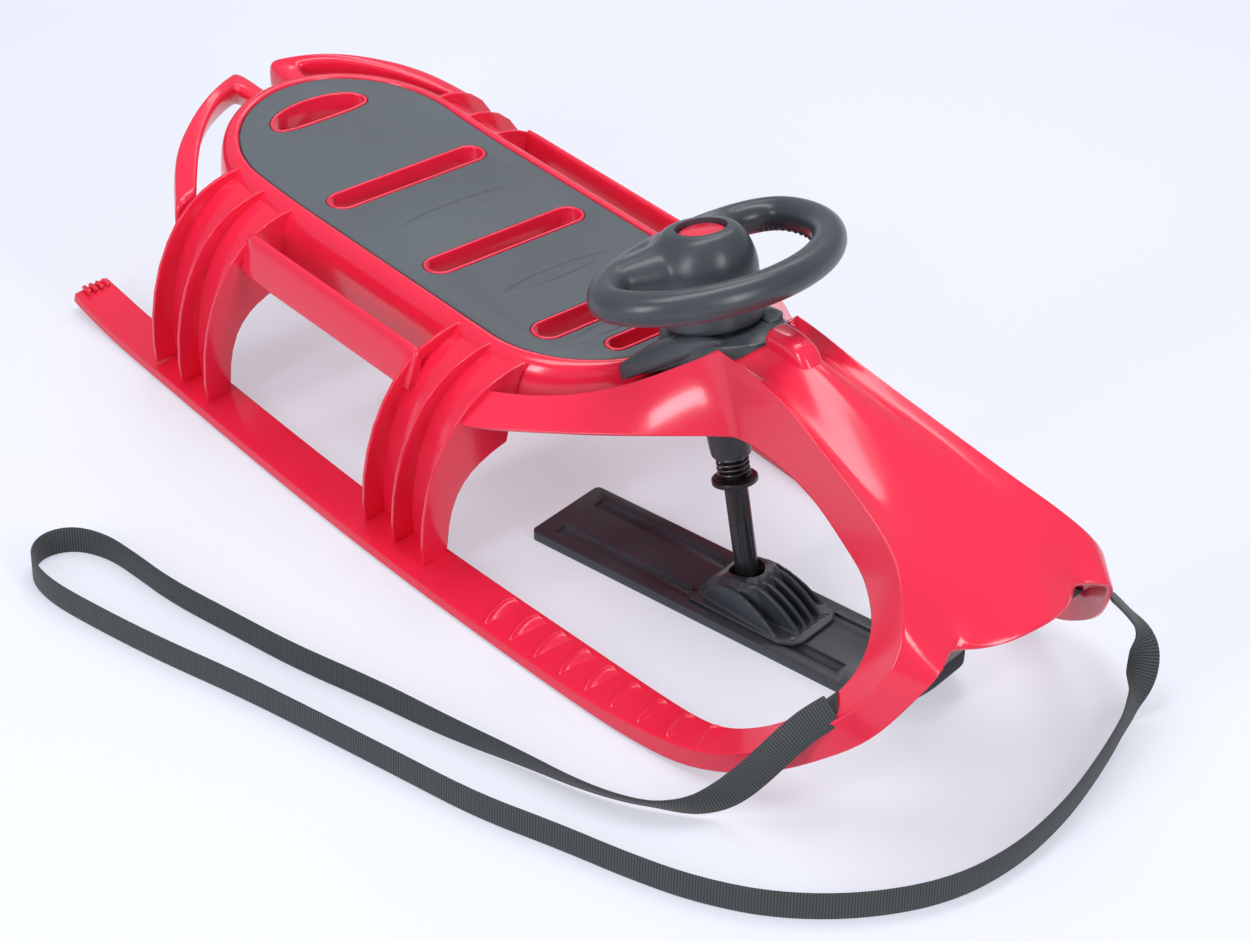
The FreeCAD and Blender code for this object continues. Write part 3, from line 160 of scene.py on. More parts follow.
def add_rings(build, rings, loop=False):
    """Add a tube of rings in millimetres to an edit mesh, closed on itself or capped."""
    rows = [[build.verts.new(mm(point)) for point in ring] for ring in rings]
    pairs = list(zip(rows, rows[1:]))
    if loop:
        pairs.append((rows[-1], rows[0]))
    for first, second in pairs:
        for index in range(len(first)):
            after = (index + 1) % len(first)
            build.faces.new((first[index], first[after], second[after], second[index]))
    if not loop:
        build.faces.new(list(reversed(rows[0])))
        build.faces.new(rows[-1])
    return rows


def ring_piece(name, rings, loop=False, place=None):
    """New object from a tube of rings."""
    build = bmesh.new()
    add_rings(build, rings, loop)
    face_outwards(build)
    return mesh_piece(name, build, place)


def cage(name, rings, crease=0.3, levels=2):
    """Smooth capped body through rings of points in millimetres."""
    build = bmesh.new()
    layer = crease_layer(build)
    rows = add_rings(build, rings)
    face_outwards(build)
    for first, second in zip(rows, rows[1:]):
        for one, two in zip(first, second):
            build.edges.get((one, two))[layer] = crease
    for row in (rows[0], rows[-1]):
        for index, vert in enumerate(row):
            build.edges.get((vert, row[(index + 1) % len(row)]))[layer] = max(crease, CAP_CREASE)
    piece = settle(subdivide(mesh_piece(name, build), levels))
    smooth_faces(piece)
    return piece


def softened(name, node, width, segments):
    """Copy of a node with its doubles merged and its edges rounded."""
    build = bmesh.new()
    build.from_mesh(cad[node].data)
    bmesh.ops.remove_doubles(build, verts=build.verts, dist=0.00002)
    bmesh.ops.dissolve_limit(
        build, angle_limit=math.radians(0.6), verts=build.verts, edges=build.edges, delimit={"NORMAL"}
    )
    piece = mesh_piece(name, build)
    round_off = piece.modifiers.new("round", "BEVEL")
    round_off.width = width * MM
    round_off.segments = segments
    round_off.limit_method = "ANGLE"
    round_off.angle_limit = math.radians(30)
    round_off.use_clamp_overlap = True
    settle(piece)
    smooth_faces(piece, 40)
    return piece


def melted(piece, voxel, rounds):
    """Melt overlapping forms into one skin and ease it."""
    melt = piece.modifiers.new("melt", "REMESH")
    melt.mode = "VOXEL"
    melt.voxel_size = voxel
    melt.use_smooth_shade = True
    ease = piece.modifiers.new("ease", "SMOOTH")
    ease.factor = 0.5
    ease.iterations = rounds
    return settle(piece)


def mix_points(first, second, share):
    """Place between two places."""
    return tuple(a + (b - a) * share for a, b in zip(first, second))


def on_side(side, points):
    """Places of the left half, on the side that is asked for."""
    return [(x, side * y, z) for x, y, z in points]


def turned_section(section, angle, centre=0):
    """Section of radii and heights, turned about an upright axis."""
    ahead = math.cos(angle)
    aside = math.sin(angle)
    return [(centre + radius * ahead, radius * aside, height) for radius, height in section]


def oval_ring(centre, wide, deep, height, count=28):
    """Level oval ring."""
    ring = []
    for step in range(count):
        angle = 2 * math.pi * step / count
        ring.append((centre + deep * math.cos(angle), wide * math.sin(angle), height))
    return ring


# Finishes

def set_values(node, values):
    """Set inputs of a node by their names."""
    for name, value in values.items():
        node.inputs[name].default_value = value
    return node


def math_of(tree, operation, *values):
    """Result of one step of arithmetic on sockets and plain numbers."""
    node = tree.nodes.new("ShaderNodeMath")
    node.operation = operation
    for socket, value in zip(node.inputs, values):
        if isinstance(value, float):
            socket.default_value = value
        else:
            tree.links.new(value, socket)
    return node.outputs["Value"]


def group_socket(tree, name, kind, way, value=None):
    """Named socket on a node group."""
    socket = tree.interface.new_socket(name=name, in_out=way, socket_type=kind)
    if value is not None:
        socket.default_value = value
    return socket


def moulding_group():
    """Fine skin grain and broad flow mottle of a moulded surface."""
    tree = bpy.data.node_groups.new("moulded_skin", "ShaderNodeTree")
    group_socket(tree, "Grain Scale", "NodeSocketFloat", "INPUT", 900)
    group_socket(tree, "Mottle Scale", "NodeSocketFloat", "INPUT", 9)
    group_socket(tree, "Grain", "NodeSocketFloat", "OUTPUT")
    group_socket(tree, "Mottle", "NodeSocketFloat", "OUTPUT")
    ends = tree.nodes.new("NodeGroupInput")
    out = tree.nodes.new("NodeGroupOutput")
    place = tree.nodes.new("ShaderNodeTexCoord")
    for socket, output, detail in (("Grain Scale", "Grain", 2), ("Mottle Scale", "Mottle", 4)):
        noise = tree.nodes.new("ShaderNodeTexNoise")
        noise.inputs["Detail"].default_value = detail
        tree.links.new(place.outputs["Object"], noise.inputs["Vector"])
        tree.links.new(ends.outputs[socket], noise.inputs["Scale"])
        tree.links.new(noise.outputs["Fac"], out.inputs[output])
    return tree


skin_group = moulding_group()


def blank_material(name):
    """Empty node material with its surface shader."""
    material = bpy.data.materials.new(name)
    material.use_nodes = True
    tree = material.node_tree
    shader = tree.nodes["Principled BSDF"]
    return material, tree, shader


def ranged(tree, value, low, high, start=0.3, end=0.7):
    """Value spread between two ends."""
    ends = {"From Min": start, "From Max": end, "To Min": low, "To Max": high}
    spread = set_values(tree.nodes.new("ShaderNodeMapRange"), ends)
    tree.links.new(value, spread.inputs["Value"])
    return spread.outputs["Result"]


def two_tone(tree, value, low, high, start=0.3, end=0.7):
    """Colour between two tones."""
    ramp = tree.nodes.new("ShaderNodeValToRGB")
    ramp.color_ramp.elements[0].position = start
    ramp.color_ramp.elements[1].position = end
    ramp.color_ramp.elements[0].color = (*low, 1)
    ramp.color_ramp.elements[1].color = (*high, 1)
    tree.links.new(value, ramp.inputs["Fac"])
    return ramp.outputs["Color"]


def raise_bump(tree, shader, height, distance, under=None):
    """Bump on the shader's normal, over another one where there is one."""
    bump = set_values(tree.nodes.new("ShaderNodeBump"), {"Distance": distance, "Strength": 1.0})
    tree.links.new(height, bump.inputs["Height"])
    if under:
        tree.links.new(under, bump.inputs["Normal"])
    tree.links.new(bump.outputs["Normal"], shader.inputs["Normal"])
    return bump.outputs["Normal"]


def skin_of(tree, grain, mottle):
    """Grain and mottle of the skin group, with a material's own scales."""
    skin = tree.nodes.new("ShaderNodeGroup")
    skin.node_tree = skin_group
    set_values(skin, {"Grain Scale": grain, "Mottle Scale": mottle})
    return skin.outputs["Grain"], skin.outputs["Mottle"]


def moulded(name, low, high, rough, grain, mottle, depth, coat=0.0, coat_rough=0.1):
    """Moulded plastic in two close tones with its skin grain."""
    material, tree, shader = blank_material(name)
    fine, broad = skin_of(tree, grain, mottle)
    tree.links.new(two_tone(tree, broad, low, high), shader.inputs["Base Color"])
    tree.links.new(ranged(tree, broad, rough[0], rough[1]), shader.inputs["Roughness"])
    raise_bump(tree, shader, fine, depth)
    set_values(shader, {"Coat Weight": coat, "Coat Roughness": coat_rough})
    return material


def steel(name, low, high, rough):
    """Drawn steel with fine streaks."""
    material, tree, shader = blank_material(name)
    place = tree.nodes.new("ShaderNodeTexCoord")
    turn = set_values(tree.nodes.new("ShaderNodeMapping"), {"Scale": (40, 40, 900)})
    noise = set_values(tree.nodes.new("ShaderNodeTexNoise"), {"Scale": 1, "Detail": 3})
    tree.links.new(place.outputs["Object"], turn.inputs["Vector"])
    tree.links.new(turn.outputs["Vector"], noise.inputs["Vector"])
    tree.links.new(two_tone(tree, noise.outputs["Fac"], low, high), shader.inputs["Base Color"])
    tree.links.new(ranged(tree, noise.outputs["Fac"], rough[0], rough[1]), shader.inputs["Roughness"])
    raise_bump(tree, shader, noise.outputs["Fac"], 0.00003)
    set_values(shader, {"Metallic": 1.0})
    return material


def weave_bands(tree, place, direction, values):
    """Even bands one way over the weave map."""
    bands = set_values(tree.nodes.new("ShaderNodeTexWave"), values)
    bands.wave_type = "BANDS"
    bands.bands_direction = direction
    tree.links.new(place.outputs["UV"], bands.inputs["Vector"])
    return bands.outputs["Fac"]


def webbing():
    """Woven polyester webbing: ribs across and twill along."""
    material, tree, shader = blank_material("webbing_weave")
    place = tree.nodes.new("ShaderNodeUVMap")
    place.uv_map = "weave"
    ribs = weave_bands(tree, place, "Y", {"Scale": 130, "Distortion": 0.4, "Detail": 1})
    yarn = weave_bands(tree, place, "DIAGONAL", {"Scale": 220, "Distortion": 1.0})
    height = math_of(tree, "MULTIPLY_ADD", yarn, 0.3, ribs)
    colour = two_tone(tree, height, (0.018, 0.022, 0.024), (0.068, 0.078, 0.082), 0.1, 1.1)
    tree.links.new(colour, shader.inputs["Base Color"])
    tree.links.new(ranged(tree, height, 0.85, 0.62, 0.0, 1.2), shader.inputs["Roughness"])
    raise_bump(tree, shader, height, 0.0003)
    set_values(shader, {"Sheen Weight": 0.15, "Sheen Roughness": 0.5})
    return material


def seat_foam():
    """Grey seat skin: fine leather grain and faint raised bars between the slots."""
    material, tree, shader = blank_material("seat_skin")
    fine, broad = skin_of(tree, 650, 6)
    tone = two_tone(tree, broad, (0.088, 0.105, 0.121), (0.112, 0.131, 0.149))
    tree.links.new(tone, shader.inputs["Base Color"])
    tree.links.new(ranged(tree, broad, 0.46, 0.56), shader.inputs["Roughness"])
    place = tree.nodes.new("ShaderNodeTexCoord")
    heights = None
    for centre in (-0.188, -0.046, 0.049):
        shift = tree.nodes.new("ShaderNodeMapping")
        shift.vector_type = "TEXTURE"
        set_values(shift, {"Location": (centre, 0, 0.2), "Scale": (0.009, 0.062, 0.05)})
        tree.links.new(place.outputs["Object"], shift.inputs["Vector"])
        lens = tree.nodes.new("ShaderNodeTexGradient")
        lens.gradient_type = "SPHERICAL"
        tree.links.new(shift.outputs["Vector"], lens.inputs["Vector"])
        bar = ranged(tree, lens.outputs["Fac"], 0.0, 1.0, 0.02, 0.25)
        heights = math_of(tree, "ADD", heights, bar) if heights else bar
    bars = raise_bump(tree, shader, heights, 0.0012)
    raise_bump(tree, shader, fine, 0.00008, bars)
    return material


red = moulded(
    "sled_red", (0.90, 0.020, 0.066), (0.95, 0.026, 0.078), (0.17, 0.23),
    grain=700, mottle=7, depth=0.00003, coat=0.2, coat_rough=0.05,
)
wheel_grey = moulded(
    "wheel_grey", (0.046, 0.056, 0.067), (0.065, 0.077, 0.090), (0.27, 0.36),
    grain=1100, mottle=14, depth=0.00005,
)
ski_black = moulded(
    "ski_black", (0.032, 0.041, 0.052), (0.049, 0.061, 0.074), (0.26, 0.36),
    grain=800, mottle=12, depth=0.00006,
)
column_black = moulded(
    "column_black", (0.010, 0.011, 0.013), (0.020, 0.022, 0.025), (0.22, 0.32),
    grain=800, mottle=20, depth=0.00003,
)
bright_steel = steel("spring_steel", (0.50, 0.52, 0.55), (0.78, 0.80, 0.83), (0.18, 0.34))
dark_steel = steel("dark_spring_steel", (0.07, 0.075, 0.082), (0.15, 0.16, 0.17), (0.26, 0.40))
seat_grey = seat_foam()
weave = webbing()


# Pull strap: the route's points, then a flat ribbon along the spline through them

STRAP_POINTS = (
    (449, -131, 101), (440, -141, 90), (434, -150, 80),
    (429, -162, 68), (423, -176, 52), (415, -190, 35), (407, -202, 23), (397, -216, 15.5), (383, -233, 13.4),
    (359, -253, 13.2), (320, -271, 13.2), (266, -286, 13.2), (198, -308, 13.2), (124, -326, 13.2),
    (50, -349, 13.2), (-22, -364, 13.2), (-88, -378, 13.2), (-140, -381, 13.2), (-176, -385, 13.2),
    (-204, -401, 13.2), (-211, -429, 13.2), (-192, -452, 13.2), (-153, -458, 13.2), (-96, -447, 13.2),
    (-26, -430, 13.2), (52, -406, 13.2), (132, -386, 13.2), (212, -367, 13.2), (290, -349, 13.2),
    (356, -323, 13.2), (416, -303, 13.2), (468, -281, 13.2), (518, -247, 13.2), (560, -196, 13.2),
    (588, -133, 13.2), (592, -67, 13.2), (579, 1, 13.2), (558, 61, 13.2), (534, 117, 13.4), (513, 158, 22),
    (501, 176, 48), (489, 168, 76), (477.3, 147.0, 100.4),
)
STRAP_WIDTH = 0.026
STRAP_THICK = 0.0019
LOOP_THICK = 0.0015

# Corners of the webbing's section, in shares of its width and thickness
WEBBING_SECTION = (
    (-0.5, 0), (-0.46, 0.5), (0, 0.5), (0.46, 0.5), (0.5, 0), (0.46, -0.5), (0, -0.5), (-0.46, -0.5),
)

# Way that the near band faces, and how far the strap's first places stand off along it
STRAP_SLANT = Vector((0.64, -0.56, 0.53))
STAND_OFF = 0.013
STAND_OFF_PLACES = 60

# Turn from broad that sets the webbing almost on its edge
EDGE_TURN = 1.3

# Loop's middle from a curl's inner edge and its half sizes: across the wall, out of the wall
LOOP_MIDDLE = (7, -2.1)
LOOP_HALF = (10.5, 3.6)


def strap_line():
    """Places along the smooth spline through the strap's points."""
    curve = bpy.data.curves.new("strap_line", "CURVE")
    curve.dimensions = "3D"
    curve.resolution_u = 8
    spline = curve.splines.new("NURBS")
    spline.points.add(len(STRAP_POINTS) - 1)
    for place, point in zip(spline.points, STRAP_POINTS):
        place.co = (*mm(point), 1)
    spline.order_u = 3
    spline.use_endpoint_u = True
    holder = link("strap_line", curve)
    mesh = plain_mesh(holder)
    line = [vert.co.copy() for vert in mesh.vertices]
    bpy.data.objects.remove(holder)
    bpy.data.meshes.remove(mesh)
    return line


def eased(value, low, high):
    """Smooth step from 0 to 1 between two values."""
    step = min(max((value - low) / (high - low), 0), 1)
    return step * step * (3 - 2 * step)


def eased_keys(keys, value):
    """Smooth value between keys of place and value."""
    if value <= keys[0][0]:
        return keys[0][1]
    for (low, first), (high, second) in zip(keys, keys[1:]):
        if value <= high:
            return first + (second - first) * eased(value, low, high)
    return keys[-1][1]


def strap_across(share, along):
    """Way across the webbing: broad over the near band, upright on the floor, turning in the far drop."""
    broad = along.cross(STRAP_SLANT).normalized()
    if share > 0.5:
        broad.negate()
    deep = along.cross(broad)
    upright = Vector((0, 0, 1))
    rise = math.atan2(upright.dot(deep), upright.dot(broad))
    on_edge = math.copysign(EDGE_TURN, rise)
    if share < 0.5:
        turn = eased_keys(((0.04, 0), (0.085, on_edge), (0.2, rise)), share)
    else:
        turn = eased_keys(((0.93, rise), (0.945, on_edge * 0.7), (0.962, 0), (0.984, on_edge)), share)
    return broad * math.cos(turn) + deep * math.sin(turn)


def ribbon(name, line, across_at, thick):
    """Flat webbing along a line, with a weave map that runs along it."""
    build = bmesh.new()
    weave_map = build.loops.layers.uv.new("weave")
    lengths = [0.0]
    for one, two in zip(line, line[1:]):
        lengths.append(lengths[-1] + (two - one).length)
    rows = []
    for index, place in enumerate(line):
        before = line[max(index - 1, 0)]
        after = line[min(index + 1, len(line) - 1)]
        along = (after - before).normalized()
        across = across_at(lengths[index] / lengths[-1], along)
        out = along.cross(across)
        section = [place + across * a * STRAP_WIDTH + out * b * thick for a, b in WEBBING_SECTION]
        rows.append([build.verts.new(corner) for corner in section])
    count = len(WEBBING_SECTION)
    for row, (first, second) in enumerate(zip(rows, rows[1:])):
        for side in range(count):
            after = (side + 1) % count
            face = build.faces.new((first[side], first[after], second[after], second[side]))
            corners = ((side, row), (after, row), (after, row + 1), (side, row + 1))
            for loop, (corner, step) in zip(face.loops, corners):
                loop[weave_map].uv = (WEBBING_SECTION[corner][0] * STRAP_WIDTH, lengths[step])
    build.faces.new(list(reversed(rows[0])))
    build.faces.new(rows[-1])
    face_outwards(build)
    piece = mesh_piece(name, build)
    smooth_faces(piece, 50)
    return piece, lengths[-1]


def loop_frame(side):
    """Place and ways at a curl's inner edge: along the edge, across the wall and out of it."""
    place = Vector((442, side * 128, 101))
    edge = Vector((49, side * -18, 65)).normalized()
    across = Vector((32, side * 7, 11))
    across = (across - edge * across.dot(edge)).normalized()
    out = edge.cross(across) * side
    return place, edge, across, out


def loop_line(side):
    """Closed way of a webbing loop round the inner edge of a curl."""
    place, _, across, out = loop_frame(side)
    line = []
    for step in range(37):
        angle = 2 * math.pi * step / 36
        wide = math.copysign(abs(math.cos(angle)) ** 0.7, math.cos(angle))
        deep = math.copysign(abs(math.sin(angle)) ** 0.5, math.sin(angle))
        aside = across * (LOOP_MIDDLE[0] + LOOP_HALF[0] * wide)
        line.append(mm(place + aside + out * (LOOP_MIDDLE[1] + LOOP_HALF[1] * deep)))
    return line


def loop_across(side):
    """Way across a loop: along the curl's inner edge."""
    edge = loop_frame(side)[1]

    def across(share, along):
        return edge

    return across


strap_places = strap_line()
for index, place in enumerate(strap_places[:STAND_OFF_PLACES]):
    place += STRAP_SLANT * STAND_OFF * (1 - eased(index / STAND_OFF_PLACES, 0.25, 0.9))
strap, strap_length = ribbon("pull_strap_webbing", strap_places, strap_across, STRAP_THICK)
finish(strap, "sled", weave, "webbing", "pull_strap")
for side, word in SIDES:
    end, _ = ribbon("strap_loop_webbing_" + word, loop_line(side), loop_across(side), LOOP_THICK)
    finish(end, "sled", weave, "webbing", "strap_loop_" + word)


# Front shell: runner skins, curls, hood and arms in one smooth moulding

# Runner stations: place along, outer edge and width
RUNNER = (
    (-537, 189, 37), (-529, 190, 38), (-500, 191, 39.5), (-468, 192, 40.5), (-417, 194.5, 41.5),
    (-331, 198.5, 42.5), (-247, 202, 43), (-113, 206.5, 44), (0, 207, 46), (100, 205, 48), (190, 202, 49.5),
)
CORE_FRONT = ((255, 198, 48), (290, 194, 45))

# Heights of a runner's inner edge, ridge and outer edge, and how far in the ridge lies
INNER_HEIGHT = 15
RIDGE_HEIGHT = 9.5
OUTER_HEIGHT = 2.2
RIDGE_INSET = 1.6

# Kick of a runner's tail: where it starts, and the run for each unit of rise
KICK_START = -465
KICK_RUN = 8

# Left side of each curl, in millimetres: inner edge, ridge, front edge
CURL = (
    ((255, 149.5, 15), (255, 197.6, 12.6), (254, 198.8, 2.2)),
    ((306, 147.8, 16.6), (308, 192.8, 17.8), (302, 193.6, 2.4)),
    ((338, 146, 21), (355, 184, 23.5), (348, 186.5, 5)),
    ((359, 143, 30), (393, 172.5, 39), (398, 171, 22)),
    ((382, 139, 44), (421, 161, 60), (432, 156, 42)),
    ((407, 135, 64), (444, 150.5, 82), (458, 143, 63)),
    ((442, 128, 101), (474, 135, 112), (490, 127, 91)),
    ((456, 117, 129), (494, 121, 150), (511, 109, 133)),
    ((454, 104, 144), (494, 112, 168), (522, 99, 155)),
    ((447, 93, 154), (489, 102, 183), (519, 84, 162.5)),
    ((438, 84, 161.5), (478, 92, 196), (506, 67.5, 163.5)),
    ((420, 72, 168), (458, 79, 211), (484, 60, 193)),
    ((404, 64, 174), (440, 71, 219), (461, 52, 208.5)),
)

# Left half of the hood: inner edge, ridge, valley, shoulder of the middle, middle slope, middle
HOOD = (
    ((374, 59.5, 186), (397, 61, 232.5), (401, 51, 227), (404, 40, 226.5), (405, 20, 227), (405, 0, 227)),
    ((342, 54, 199), (338, 51.5, 247), (341, 40, 240.5), (342, 29, 246), (342, 14, 251), (342, 0, 252.5)),
    ((305, 49, 203.5), (295, 44.5, 258), (296, 33.5, 250), (297, 22.5, 258), (297, 11, 266), (297, 0, 267.5)),
    ((278, 46.5, 204.5), (268, 42, 264), (268, 31.5, 253), (270, 20, 264), (272, 10, 273), (272, 0, 274)),
    ((255, 45.5, 204.5), (236, 42.5, 268.5), (238, 31.5, 255), (244, 21, 266), (250, 10, 275), (250, 0, 276)),
    ((237, 46.5, 203), (208, 43, 270), (213, 32, 256), (222, 22, 266), (231, 10, 275), (233, 0, 276)),
)

# Left arm behind the knee: lower edge, upper edge
ARM = (
    ((222, 58, 201), (196, 47, 259)),
    ((196, 80, 196), (180, 54, 246)),
    ((151, 115, 188.5), (139, 84, 215)),
    ((105, 140, 177.5), (101, 115, 199.5)),
    ((68, 164, 170.5), (68, 135.5, 192)),
    ((38, 177, 165), (38, 151, 189.5)),
)

# Tongue in front of the hood: edge, middle slope, middle
TONGUE = (
    ((461, 52, 208.5), (461, 26, 204.5), (461, 0, 203.5)),
    ((484, 60, 193), (484, 30, 193), (484, 0, 194)),
    ((506, 67.5, 163.5), (508, 36, 179), (507, 0, 183)),
    ((518, 56, 162.5), (522, 31, 171), (524, 0, 176.5)),
    ((528, 34, 163), (533, 18, 166.5), (536, 0, 169.5)),
)

WALL_SHARES = (0, 0.09, 0.5, 0.91, 1)
LIP_SHARES = (0, 0.22, 0.8, 1)
RIDGE_CREASE = 0.5
KNEE_CREASE = 0.45
SHELL_WALL = 0.0042


def tail_lift(x):
    """Height that a runner's tail gains behind the start of its kick."""
    return max(0, (KICK_START - x) / KICK_RUN)


def runner_edges(x, outer, width, lift=0):
    """Inner edge and ridge of a runner's skin."""
    return (x, outer - width, INNER_HEIGHT + lift), (x, outer - RIDGE_INSET, RIDGE_HEIGHT + lift)


def shell_rows():
    """Rows of the wall, the lip and the hood's middle for the left side."""
    walls = []
    lips = []
    middles = []
    for x, outer, width in RUNNER:
        inner, ridge = runner_edges(x, outer, width, tail_lift(x))
        front = (x, outer, OUTER_HEIGHT + tail_lift(x))
        walls.append((inner, ridge))
        lips.append([mix_points(ridge, front, share) for share in LIP_SHARES])
    for inner, ridge, front in CURL:
        walls.append((inner, ridge))
        lips.append([mix_points(ridge, front, share) for share in LIP_SHARES])
    for inner, ridge, valley, shoulder, slope, middle in HOOD:
        walls.append((inner, ridge))
        lips.append([ridge, mix_points(ridge, valley, 0.3), valley, shoulder])
        middles.append([shoulder, slope, middle])
    for low, high in ARM:
        walls.append((low, high))
    return walls, lips, middles


def front_shell():
    """Whole smooth moulding, both sides welded along the middle."""
    walls, lips, middles = shell_rows()
    grids = [[[mix_points(inner, ridge, share) for share in WALL_SHARES] for inner, ridge in walls]]
    grids.append(lips)
    grids.append([list(TONGUE[0])] + middles)
    grids.append(list(reversed(TONGUE)))
    build = bmesh.new()
    layer = crease_layer(build)
    known = {}

    def corner(point):
        key = tuple(round(value, 3) for value in point)
        if key not in known:
            known[key] = build.verts.new(mm(point))
        return known[key]

    for side in (1, -1):
        for grid in grids:
            rows = [[corner(point) for point in on_side(side, row)] for row in grid]
            for first, second in zip(rows, rows[1:]):
                for index in range(len(first) - 1):
                    build.faces.new((first[index], first[index + 1], second[index + 1], second[index]))
        ridges = [corner(point) for point in on_side(side, [ridge for _, ridge in walls])]
        for one, two in zip(ridges, ridges[1:]):
            build.edges.get((one, two))[layer] = RIDGE_CREASE
        knee = [corner(point) for point in on_side(side, grids[0][-len(ARM) - 1])]
        for one, two in zip(knee, knee[1:]):
            build.edges.get((one, two))[layer] = KNEE_CREASE
    face_outwards(build)
    build.faces.ensure_lookup_table()
    top = max(build.faces, key=lambda face: face.calc_center_median().z)
    if top.normal.z < 0:
        bmesh.ops.reverse_faces(build, faces=build.faces)
    piece = mesh_piece("front_shell", build)
    wall = piece.modifiers.new("wall", "SOLIDIFY")
    wall.thickness = SHELL_WALL
    wall.offset = -1
    wall.use_even_offset = True
    wall.use_rim = True
    wall.edge_crease_rim = 0
    wall.edge_crease_inner = 0.8
    wall.edge_crease_outer = 0.7
    subdivide(piece, 2)
    settle(piece)
    smooth_faces(piece)
    return piece


def runner_core(side, word):
    """Solid runner under the skin."""
    rings = []
    for x, outer, width in RUNNER[1:] + CORE_FRONT:
        inner = outer - width + 1
        section = ((inner, 11.5), (outer - 3.5, 6), (outer - 2.5, 1.6), (inner, 1.6))
        rings.append([(x, side * y, z + tail_lift(x)) for y, z in section])
    piece = cage("runner_core_" + word, rings, crease=0.8, levels=1)
    return finish(piece, "sled", red, "body_red", "runner_" + word)


shell_nodes = ["hood"] + [name + "_" + word for name in ("curl", "arm") for _, word in SIDES]
finish(front_shell(), "sled", red, "body_red", *shell_nodes)
for side, word in SIDES:
    runner_core(side, word)


# Repeated small forms, set on places by a node tree

def repeat_tree():
    """Node tree that sets a unit on every place of a mesh, with its turn and size."""
    tree = bpy.data.node_groups.new("repeat_unit", "GeometryNodeTree")
    group_socket(tree, "Places", "NodeSocketGeometry", "INPUT")
    group_socket(tree, "Unit", "NodeSocketObject", "INPUT")
    group_socket(tree, "Surface", "NodeSocketMaterial", "INPUT")
    group_socket(tree, "Result", "NodeSocketGeometry", "OUTPUT")
    start = tree.nodes.new("NodeGroupInput")
    end = tree.nodes.new("NodeGroupOutput")
    points = tree.nodes.new("GeometryNodeMeshToPoints")
    unit = tree.nodes.new("GeometryNodeObjectInfo")
    turn = tree.nodes.new("GeometryNodeInputNamedAttribute")
    turn.data_type = "FLOAT_VECTOR"
    turn.inputs["Name"].default_value = "turn"
    euler = tree.nodes.new("FunctionNodeEulerToRotation")
    grow = tree.nodes.new("GeometryNodeInputNamedAttribute")
    grow.data_type = "FLOAT_VECTOR"
    grow.inputs["Name"].default_value = "grow"
    spread = tree.nodes.new("GeometryNodeInstanceOnPoints")
    real = tree.nodes.new("GeometryNodeRealizeInstances")
    surface = tree.nodes.new("GeometryNodeSetMaterial")
    join = tree.links.new
    join(start.outputs["Places"], points.inputs["Mesh"])
    join(start.outputs["Unit"], unit.inputs["Object"])
    join(points.outputs["Points"], spread.inputs["Points"])
    join(unit.outputs["Geometry"], spread.inputs["Instance"])
    join(turn.outputs["Attribute"], euler.inputs["Euler"])
    join(euler.outputs["Rotation"], spread.inputs["Rotation"])
    join(grow.outputs["Attribute"], spread.inputs["Scale"])
    join(spread.outputs["Instances"], real.inputs["Geometry"])
    join(real.outputs["Geometry"], surface.inputs["Geometry"])
    join(start.outputs["Surface"], surface.inputs["Material"])
    join(surface.outputs["Geometry"], end.inputs["Result"])
    return tree


REPEAT = repeat_tree()


def repeated(name, unit, places, material):
    """Piece made of one unit on each place: a matrix and three sizes."""
    mesh = bpy.data.meshes.new(name + "_places")
    mesh.from_pydata([tuple(frame_matrix.translation) for frame_matrix, _ in places], [], [])
    turns = mesh.attributes.new("turn", "FLOAT_VECTOR", "POINT")
    sizes = mesh.attributes.new("grow", "FLOAT_VECTOR", "POINT")
    for index, (frame_matrix, grow) in enumerate(places):
        turns.data[index].vector = tuple(frame_matrix.to_euler())
        sizes.data[index].vector = grow
    host = link(name + "_places", mesh)
    repeat = host.modifiers.new("repeat", "NODES")
    repeat.node_group = REPEAT
    sockets = {item.name: item.identifier for item in REPEAT.interface.items_tree if item.in_out == "INPUT"}
    repeat[sockets["Unit"]] = unit
    repeat[sockets["Surface"]] = material
    result = plain_mesh(host)
    result.name = name
    bpy.data.objects.remove(host)
    bpy.data.objects.remove(unit)
    piece = link(name, result)
    smooth_faces(piece, 50)
    return piece


# Foot rib: distance in from its outer end and place of its bowed back
RIB_STATIONS = (
    (0, 0), (2, -0.9), (6, -2.5), (12, -4.6), (18, -6.4), (24, -7.6), (30, -8.3), (34, -7.6), (36.4, -6),
    (37.4, -4),
)
RIB_OUTER = 18
RIB_SLANT = 9
RIB_LENGTH = 37
RIB_COUNT = 9
RIB_FIRST = 106
RIB_PITCH = 30.6
RIB_NARROWING = 0.012

# Ribs past the level stretch are lifted out of the curve, each by a little more, in metres
LAST_LEVEL_RIB = 6
RIB_LIFT = 0.0005

# Teeth on a runner's tail: place along, height and places across
TOOTH_ALONG = -530
TOOTH_HEIGHT = 22.6
TOOTH_ACROSS = (157, 164, 171, 178)


def small_form(name, rings):
    """Small closed form from rings, softened, for a tree to repeat."""
    return settle(subdivide(ring_piece(name, rings), 1))


